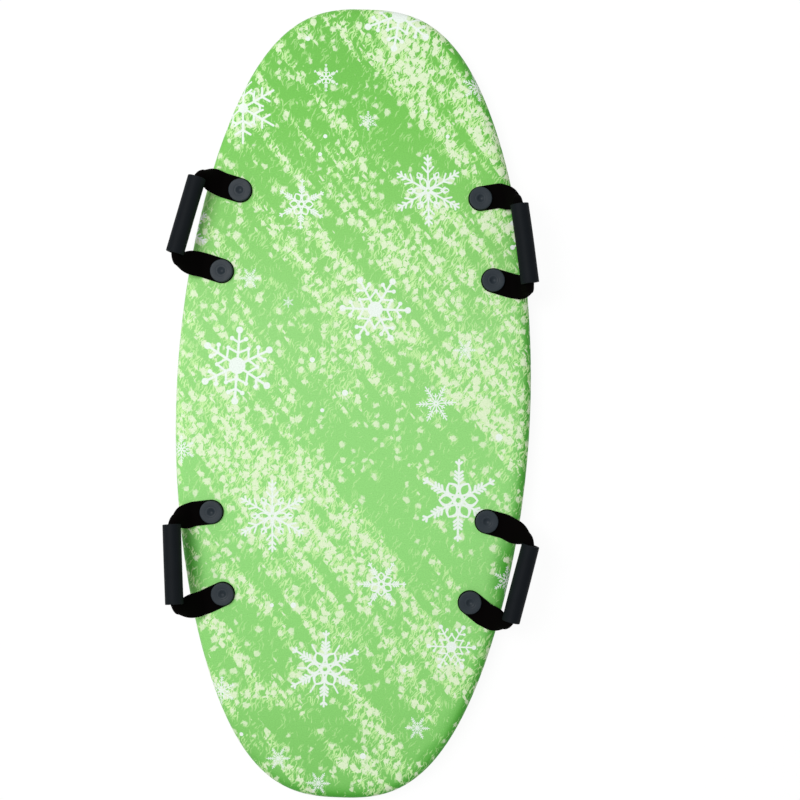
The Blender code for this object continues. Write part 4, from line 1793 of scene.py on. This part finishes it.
@dataclass
class Strap:
    """One handle's webbing, punched at both ends, folded over the rail and curled into the grip."""

    handle: Handle
    width: float = 38.0 * MM
    thickness: float = 1.8 * MM
    reach: float = 56.2 * MM
    straight: float = 25.5 * MM
    fold_offset: float = 23.0 * MM
    fold_radius: float = 12.5 * MM
    mouth_depth: float = 4.0 * MM
    grip_length: float = 120.1 * MM
    bore_offset: float = 2.0 * MM
    turn_share: float = 0.263
    turn_degrees: float = 80.0
    pull_share: float = 0.20
    curl_degrees: float = 330.0
    curl_start: float = 0.31
    late_curl: float = 0.25
    deck_height: float = 45.5 * MM
    hole_radius: float = 5.1 * MM
    bend_start: float = 20.0 * MM
    bend_length: float = 42.0 * MM
    cap_rows: int = 14
    cap_crowding: float = 1.6
    uncurl_rate: float = 1.5
    punch_sides: int = 24
    curve_rows: int = 30
    turn_rows: int = 12
    spans: int = 28
    straight_rows: int = 4
    inner_rows: int = 10
    selvedge_steps: int = 5

    @property
    def curl_radius(self) -> float:
        """The radius of the webbing where it is fully curled."""
        return self.width / math.radians(self.curl_degrees)

    def grip_axis(self) -> tuple[Vector, Vector]:
        """The grip's middle and heading in the flat, unrolled plane of the strap.

        Returns:
            The middle and the heading.
        """
        drift = self.handle.drift * self.handle.spacing()
        skew = math.radians(self.handle.skew)
        out = math.sqrt(self.reach**2 - drift**2)
        return Vector((self.fold_offset + out, drift)), Vector((math.sin(skew), math.cos(skew)))

    def way_to_mouth(
        self, end: int, start: Vector, way: Vector
    ) -> list[tuple[Vector, Vector, float]]:
        """Points, headings and curls from the strap's straight start to just inside the grip.

        Args:
            end: the end at local +Y or -Y.
            start: where the straight start ends.
            way: its heading there.

        Returns:
            The rows of a free curve, over which the strap curls up, and of a round turn.
        """
        middle, axis = self.grip_axis()
        out = axis * end
        inboard = Vector((-axis.y, axis.x))
        radius = self.width * self.turn_share
        hub = middle + out * (self.grip_length / 2 - self.mouth_depth)
        hub += inboard * (radius + self.bore_offset)
        turn = []
        for step in range(self.turn_rows + 1):
            angle = math.radians(self.turn_degrees) * (1.0 - step / self.turn_rows)
            spoke = out * math.sin(angle) - inboard * math.cos(angle)
            heading = -out * math.cos(angle) - inboard * math.sin(angle)
            open_share = max(1.0 - self.uncurl_rate * step / self.turn_rows, 0.0)
            closed = 1.0 - self.late_curl * open_share**1.5
            turn.append((hub + spoke * radius, heading, closed))
        stop, heading, _ = turn[0]
        pull = (stop - start).length * self.pull_share
        leave, enter = start + way * pull, stop - heading * pull
        curve = []
        for step in range(self.curve_rows):
            share = step / self.curve_rows
            rest = 1.0 - share
            point = start * rest**3 + leave * (3 * rest**2 * share) + enter * (3 * rest * share**2)
            point += stop * share**3
            slope = (leave - start) * rest**2 + (enter - leave) * (2 * rest * share)
            slope += (stop - enter) * share**2
            curled = min(max((share - self.curl_start) / (1.0 - self.curl_start), 0.0), 1.0)
            curled *= curled * (3.0 - 2.0 * curled) * (1.0 - self.late_curl)
            curve.append((point, slope.normalized(), curled))
        return curve + turn

    def end_rows(self, end: int) -> list[tuple[Vector, Vector, float, float]]:
        """The cross rows of one end.

        Args:
            end: the end at local +Y or -Y.

        Returns:
            The middle, heading, half width and curl of each row, from the tip into the grip.
        """
        button = Vector((0.0, end * self.handle.spacing() / 2))
        fan = math.radians(self.handle.fan_ahead if end == 1 else self.handle.fan_behind)
        way = Vector((math.cos(fan), math.sin(fan)))
        half = self.width / 2
        rows = []
        for row in range(self.cap_rows):
            angle = math.pi / 2 * (1.0 - (row / self.cap_rows) ** self.cap_crowding)
            rows.append((button - way * (half * math.sin(angle)), way, half * math.cos(angle), 0.0))
        for row in range(self.straight_rows):
            share = row / self.straight_rows
            rows.append((button + way * (self.straight * share), way, half, 0.0))
        for point, heading, curl in self.way_to_mouth(end, button + way * self.straight, way):
            rows.append((point, heading, half, curl))
        return rows

    def rows(self) -> list[tuple[Vector, Vector, float, float]]:
        """The cross rows from one tip to the other.

        Returns:
            The middle, heading, half width and curl of each row.
        """
        first, last = self.end_rows(1), self.end_rows(-1)
        (start, heading, half, _), stop = first[-1], last[-1][0]
        inside = []
        for step in range(1, self.inner_rows):
            inside.append((start.lerp(stop, step / self.inner_rows), heading, half, 1.0))
        back = [(spot, -way, half, curl) for spot, way, half, curl in reversed(last)]
        return first + inside + back

    def section(self) -> list[Vector]:
        """The webbing's cross-section: shares of its half width, and levels, round at the edges.

        Returns:
            The points of a closed loop.
        """
        half = self.thickness / 2
        side = half / (self.width / 2)
        flat = 1.0 - side
        loop = []
        for sign in (1, -1):
            for span in range(self.spans + 1):
                share = flat * (1.0 - 2.0 * span / self.spans)
                loop.append(Vector((share * sign, half * sign, 0.0)))
            for step in range(1, self.selvedge_steps):
                angle = math.pi / 2 + math.pi * step / self.selvedge_steps
                share = sign * (-flat + side * math.cos(angle))
                loop.append(Vector((share, sign * half * math.sin(angle), 0.0)))
        return loop

    def build(self, loom: Loom, finish: bpy.types.Material) -> bpy.types.Object:
        """Weave the strap, punch it and hang it on its handle.

        Args:
            loom: the tree that lofts it.
            finish: its material.

        Returns:
            The strap.
        """
        name = self.handle.name + "_webbing"
        spots, headings, halves, curls = zip(*self.rows())
        steps = [(after - before).length for before, after in zip(spots, spots[1:])]
        section = polyline(name + "_section", self.section(), closed=True)
        mesh = bpy.data.meshes.new(name)
        mesh.from_pydata([(spot.x, spot.y, 0.0) for spot in spots], [], [])
        for title, values in {
            "heading": [(heading.x, heading.y, 0.0) for heading in headings],
            "half": halves,
            "curl": curls,
            "run": np.concatenate([[0.0], np.cumsum(steps)]),
        }.items():
            give_attribute(mesh, title, values)
        piece = loom.use(
            place_mesh(name, mesh),
            Section=section,
            Fold_Offset=self.fold_offset,
            Fold_Radius=self.fold_radius,
            Lift=math.radians(self.handle.lift),
            Curl_Radius=self.curl_radius,
            Deck_Height=self.deck_height,
            Finish=finish,
        )
        piece.data.transform(self.handle.frame())
        bpy.data.objects.remove(section, do_unlink=True)
        self.punch(piece)
        soften(piece.data, Loom.CREASE)
        self.hang(piece)
        return piece

    def punch(self, piece: bpy.types.Object) -> None:
        """Punch the two holes that the buttons' stems go through.

        Args:
            piece: the strap.
        """
        builder = bmesh.new()
        for end in (1, -1):
            seat = self.handle.seat(end)
            bmesh.ops.create_cone(
                builder,
                cap_ends=True,
                segments=self.punch_sides,
                radius1=self.hole_radius,
                radius2=self.hole_radius,
                depth=4 * self.thickness,
                matrix=Matrix.Translation((seat.x, seat.y, self.deck_height)),
            )
        mesh = bpy.data.meshes.new("punch")
        builder.to_mesh(mesh)
        builder.free()
        tool = place_mesh("punch", mesh)
        cut = piece.modifiers.new("punch", "BOOLEAN")
        cut.operation = "DIFFERENCE"
        cut.solver = "EXACT"
        cut.object = tool
        settled(piece)
        bpy.data.objects.remove(tool, do_unlink=True)

    def hang(self, piece: bpy.types.Object) -> None:
        """Bake the strap's place into its mesh and hide the CAD strap that it stands for.

        Args:
            piece: the strap.
        """
        place = self.handle.frame()
        name = self.handle.name
        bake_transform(piece)
        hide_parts(name + "_strap")
        LOG.info("%s bends with %s_handle: %d faces", piece.name, name, len(piece.data.polygons))


@dataclass
class Grip:
    """One handle's foam tube, a little uneven, with soft ends."""

    handle: Handle
    radius: float = 13.8 * MM
    bore: float = 9.75 * MM
    length: float = 120.0 * MM
    edge: float = 1.0 * MM
    sides: int = 56
    rows: int = 40
    bore_rows: int = 12
    edge_steps: int = 5
    waves: int = 6
    swell_mm: Span = (0.03, 0.09)
    lean: float = 0.03

    def profile(self) -> list[tuple[float, float]]:
        """The tube's section, right round from the top of the bore.

        Returns:
            A radius and a height for each point.
        """
        half, flat = self.length / 2, self.length / 2 - self.edge
        made = [(self.bore, half - self.edge / 2), (self.bore + self.edge / 2, half)]
        for sine, cosine in quarter(self.edge_steps):
            made.append((self.radius - self.edge * (1.0 - sine), half - self.edge * (1.0 - cosine)))
        mouth = [(radius, -height) for radius, height in reversed(made)]
        for row in range(1, self.rows):
            made.append((self.radius, flat * (1.0 - 2.0 * row / self.rows)))
        made += mouth
        for row in range(1, self.bore_rows):
            made.append((self.bore, flat * (2.0 * row / self.bore_rows - 1.0)))
        return made + made[:1]

    def build(self, lathe: Lathe, finish: bpy.types.Material, seed: int) -> bpy.types.Object:
        """Turn the tube, ease it out of true and thread it on its strap.

        Args:
            lathe: the tree that turns it.
            finish: its material.
            seed: fixes how uneven it is.

        Returns:
            The grip.
        """
        name = self.handle.name
        joint = next(joint for joint in frame["joints"] if joint["name"] == name + "_grip_turn")
        middle = [(0.0, 0.0, 0.0)]
        piece = lathe.run(name + "_foam_tube", self.profile(), self.sides, middle, finish)
        self.ease(piece.data, np.random.default_rng(seed))
        axis = Vector(joint["axis"])
        turn = Vector((0.0, 0.0, 1.0)).rotation_difference(axis).to_matrix().to_4x4()
        piece.data.transform(Matrix.Translation(joint["pos_m"]) @ turn)
        piece.data.update()
        ride_for(piece, name + "_sleeve", GripFoam.slot, name + "_grip")
        return piece

    def ease(self, mesh: bpy.types.Mesh, chance: np.random.Generator) -> None:
        """Make the outside a little uneven and the cut ends a little out of square.

        Args:
            mesh: the tube along Z.
            chance: where the random numbers come from.
        """
        spots = rows_of(mesh.vertices, "co")
        radius = np.hypot(spots[:, 0], spots[:, 1])
        angle = np.arctan2(spots[:, 1], spots[:, 0])
        outer = np.clip((radius - self.bore) / (self.radius - self.bore), 0.0, 1.0)
        swell = np.zeros(len(spots))
        for _ in range(self.waves):
            turns, waves = chance.integers(0, 4), chance.uniform(8.0, 60.0)
            phase, size = chance.uniform(0.0, math.tau), chance.uniform(*self.swell_mm) * MM
            swell += size * np.sin(turns * angle + waves * spots[:, 2] + phase)
        scale = 1.0 + outer * swell / np.maximum(radius, TINY)
        spots[:, 0] *= scale
        spots[:, 1] *= scale
        lean = chance.uniform(-self.lean, self.lean, 2)
        share = (np.abs(spots[:, 2]) / (self.length / 2)) ** 8
        spots[:, 2] -= share * np.abs(spots[:, 0] * lean[0] + spots[:, 1] * lean[1])
        mesh.vertices.foreach_set("co", spots.astype(np.float32).ravel())


# Buttons and sockets


@dataclass
class Button:
    """A dished head with a dimple and a raised rim, over its stem."""

    radius: float = 17.5 * MM
    thickness: float = 4.5 * MM
    edge: float = 1.4 * MM
    dish: float = 0.7 * MM
    dish_margin: float = 0.8 * MM
    dimple_radius: float = 6.2 * MM
    dimple_depth: float = 2.3 * MM
    ring_radius: float = 8.5 * MM
    ring_width: float = 0.45 * MM
    ring_depth: float = 0.16 * MM
    lower_edge: float = 0.25 * MM
    stem_radius: float = 4.5 * MM
    stem_length: float = 42.1 * MM
    stem_tip: float = 1.0 * MM
    seat: float = 46.7 * MM
    face_steps: int = 46
    edge_steps: int = 8

    def face(self, radius: float) -> float:
        """The height of the head's face.

        Args:
            radius: how far off the axis it is.

        Returns:
            Its height over the underside of the head.
        """
        share = min(radius / (self.radius - self.edge - self.dish_margin), 1.0)
        height = self.thickness - self.dish * (1.0 - share**2 * (3.0 - 2.0 * share))
        ring = (radius - self.ring_radius) / self.ring_width
        height -= self.ring_depth * math.exp(-(ring**2))
        if radius < self.dimple_radius:
            height -= self.dimple_depth * (1.0 - (radius / self.dimple_radius) ** 2) ** 1.5
        return height

    def profile(self) -> list[tuple[float, float]]:
        """The section from the top of the axis, down the outside and the stem.

        Returns:
            A radius and a height for each point.
        """
        rim = self.radius - self.edge
        stops = [rim * step / self.face_steps for step in range(self.face_steps)]
        made = [(stop, self.face(stop)) for stop in stops]
        for sine, cosine in quarter(self.edge_steps):
            made.append((rim + self.edge * sine, self.thickness - self.edge * (1.0 - cosine)))
        return made + [
            (self.radius, self.lower_edge),
            (self.radius - self.lower_edge, 0.0),
            (self.stem_radius, 0.0),
            (self.stem_radius, self.stem_tip - self.stem_length),
            (self.stem_radius - self.stem_tip, -self.stem_length),
            (0.0, -self.stem_length),
        ]


@dataclass
class Socket:
    """A flanged barrel, seen from below as a flush disc with a ring and a gate mark."""

    flange_radius: float = 15.0 * MM
    flange_top: float = 2.6 * MM
    recess: float = 0.4 * MM
    bore: float = 4.85 * MM
    barrel_radius: float = 7.2 * MM
    barrel_top: float = 38.5 * MM
    edge: float = 0.6 * MM
    edge_steps: int = 5
    marks: tuple[tuple[float, float], ...] = (
        (11.0, 0.0), (10.6, 0.4), (9.6, 0.4), (9.2, 0.0), (2.2, 0.0), (1.9, 0.3), (0.0, 0.3),
    )

    def profile(self) -> list[tuple[float, float]]:
        """The section from the bore's floor, over the barrel and the flange to the axis below.

        Returns:
            A radius and a height for each point.
        """
        made = [
            (0.0, self.flange_top),
            (self.bore, self.flange_top),
            (self.bore, self.barrel_top),
            (self.barrel_radius, self.barrel_top),
            (self.barrel_radius, self.flange_top),
            (self.flange_radius, self.flange_top),
        ]
        for sine, cosine in quarter(self.edge_steps):
            radius = self.flange_radius - self.edge * (1.0 - cosine)
            made.append((radius, self.recess + self.edge * (1.0 - sine)))
        return made + [(radius * MM, self.recess + rise * MM) for radius, rise in self.marks]


@dataclass
class Fastenings:
    """The eight buttons and the eight sockets, each set turned once and put on its seats."""

    button: Button = field(default_factory=Button)
    socket: Socket = field(default_factory=Socket)
    sides: int = 64

    def build(self, lathe: Lathe) -> list[bpy.types.Object]:
        """Turn both sets and let them ride on the board.

        Args:
            lathe: the tree that turns them.

        Returns:
            The two pieces.
        """
        finish = MouldedPlastic().material()
        spots, buttons, sockets = [], [], []
        for handle in HANDLES:
            for end in (1, -1):
                spots.append(handle.seat(end))
                stem = f"{handle.name}_{handle.end_name(end).value}"
                buttons.append(stem + "_button")
                sockets.append(stem + "_socket")
        made = []
        for name, profile, height, nodes in (
            ("buttons", self.button.profile(), self.button.seat, buttons),
            ("sockets", self.socket.profile(), 0.0, sockets),
        ):
            places = [(spot.x, spot.y, height) for spot in spots]
            piece = lathe.run(name, profile, self.sides, places, finish)
            ride_for(piece, "board", MouldedPlastic.slot, *nodes)
            made.append(piece)
        return made


# The studio


@dataclass
class Studio:
    """A white floor, soft light from the upper left, and the photograph's view from above."""

    spot: tuple[float, float, float] = (0.0719, 0.0079, 2.0943)
    roll: float = 2.0
    lens: float = 60.03
    sensor: float = 36.0
    ambient: float = 0.52
    key_power: float = 106.0
    key_size: float = 2.0
    key_spot: tuple[float, float, float] = (-1.6, 0.7, 3.7)
    floor_half: float = 4.0
    floor_drop: float = 0.2 * MM

    def camera(self) -> None:
        """Look straight down, as the photograph does."""
        data = bpy.data.cameras.new("camera")
        data.lens = self.lens
        data.sensor_width = self.sensor
        data.sensor_fit = "HORIZONTAL"
        camera = placed("camera", data)
        camera.location = self.spot
        camera.rotation_euler = (0.0, 0.0, math.radians(self.roll))
        bpy.context.scene.camera = camera

    def lights(self) -> None:
        """A large soft key, and an even surround that shows white to the camera."""
        data = bpy.data.lights.new("key", "AREA")
        data.shape = "SQUARE"
        data.size = self.key_size
        data.energy = self.key_power
        key = placed("key", data)
        key.location = self.key_spot
        key.rotation_euler = (-Vector(self.key_spot)).to_track_quat("-Z", "Y").to_euler()
        world = bpy.data.worlds.new("studio")
        world.use_nodes = True
        bpy.context.scene.world = world
        wiring = Wiring(world.node_tree)
        light = wiring.raw("ShaderNodeLightPath")
        seen = Field(wiring, light.outputs["Is Camera Ray"])
        back = next(node for node in wiring.tree.nodes if node.type == "BACKGROUND")
        wiring.feed(back.inputs["Color"], WHITE)
        wiring.feed(back.inputs["Strength"], self.ambient + seen * (1.0 - self.ambient))

    def floor(self) -> None:
        """A wide floor just under the board."""
        half = self.floor_half
        mesh = bpy.data.meshes.new("floor")
        corners = [(-half, -half), (half, -half), (half, half), (-half, half)]
        mesh.from_pydata([(x, y, -self.floor_drop) for x, y in corners], [], [(0, 1, 2, 3)])
        place_mesh("floor", mesh, StudioFloor().material())

    def build(self) -> None:
        """Set up the camera, the floor and the light."""
        self.camera()
        self.floor()
        self.lights()
        bpy.context.scene.view_settings.view_transform = "Standard"


def main() -> None:
    """Build the studio, the board and the four handles."""
    logging.basicConfig(level=logging.INFO, format="%(name)s: %(message)s")
    Studio().build()
    board = BoardForm()
    seats = [tuple(handle.seat(end)) for handle in HANDLES for end in (1, -1)]
    DeckSkin(board, seats).build()
    SlickBottom(board, seats).build()
    core = frame["nodes"]["foam_core"]
    core.data.materials.clear()
    core.data.materials.append(CoreFoam().material())
    LOG.info("foam_core keeps its solid: %d faces", len(core.data.polygons))
    lathe, loom = Lathe(), Loom()
    Fastenings().build(lathe)
    webbing, foam = Webbing().material(), GripFoam().material()
    for seed, handle in enumerate(HANDLES):
        Strap(handle).build(loom, webbing)
        Grip(handle).build(lathe, foam, seed)


if __name__ == "__main__":
    main()
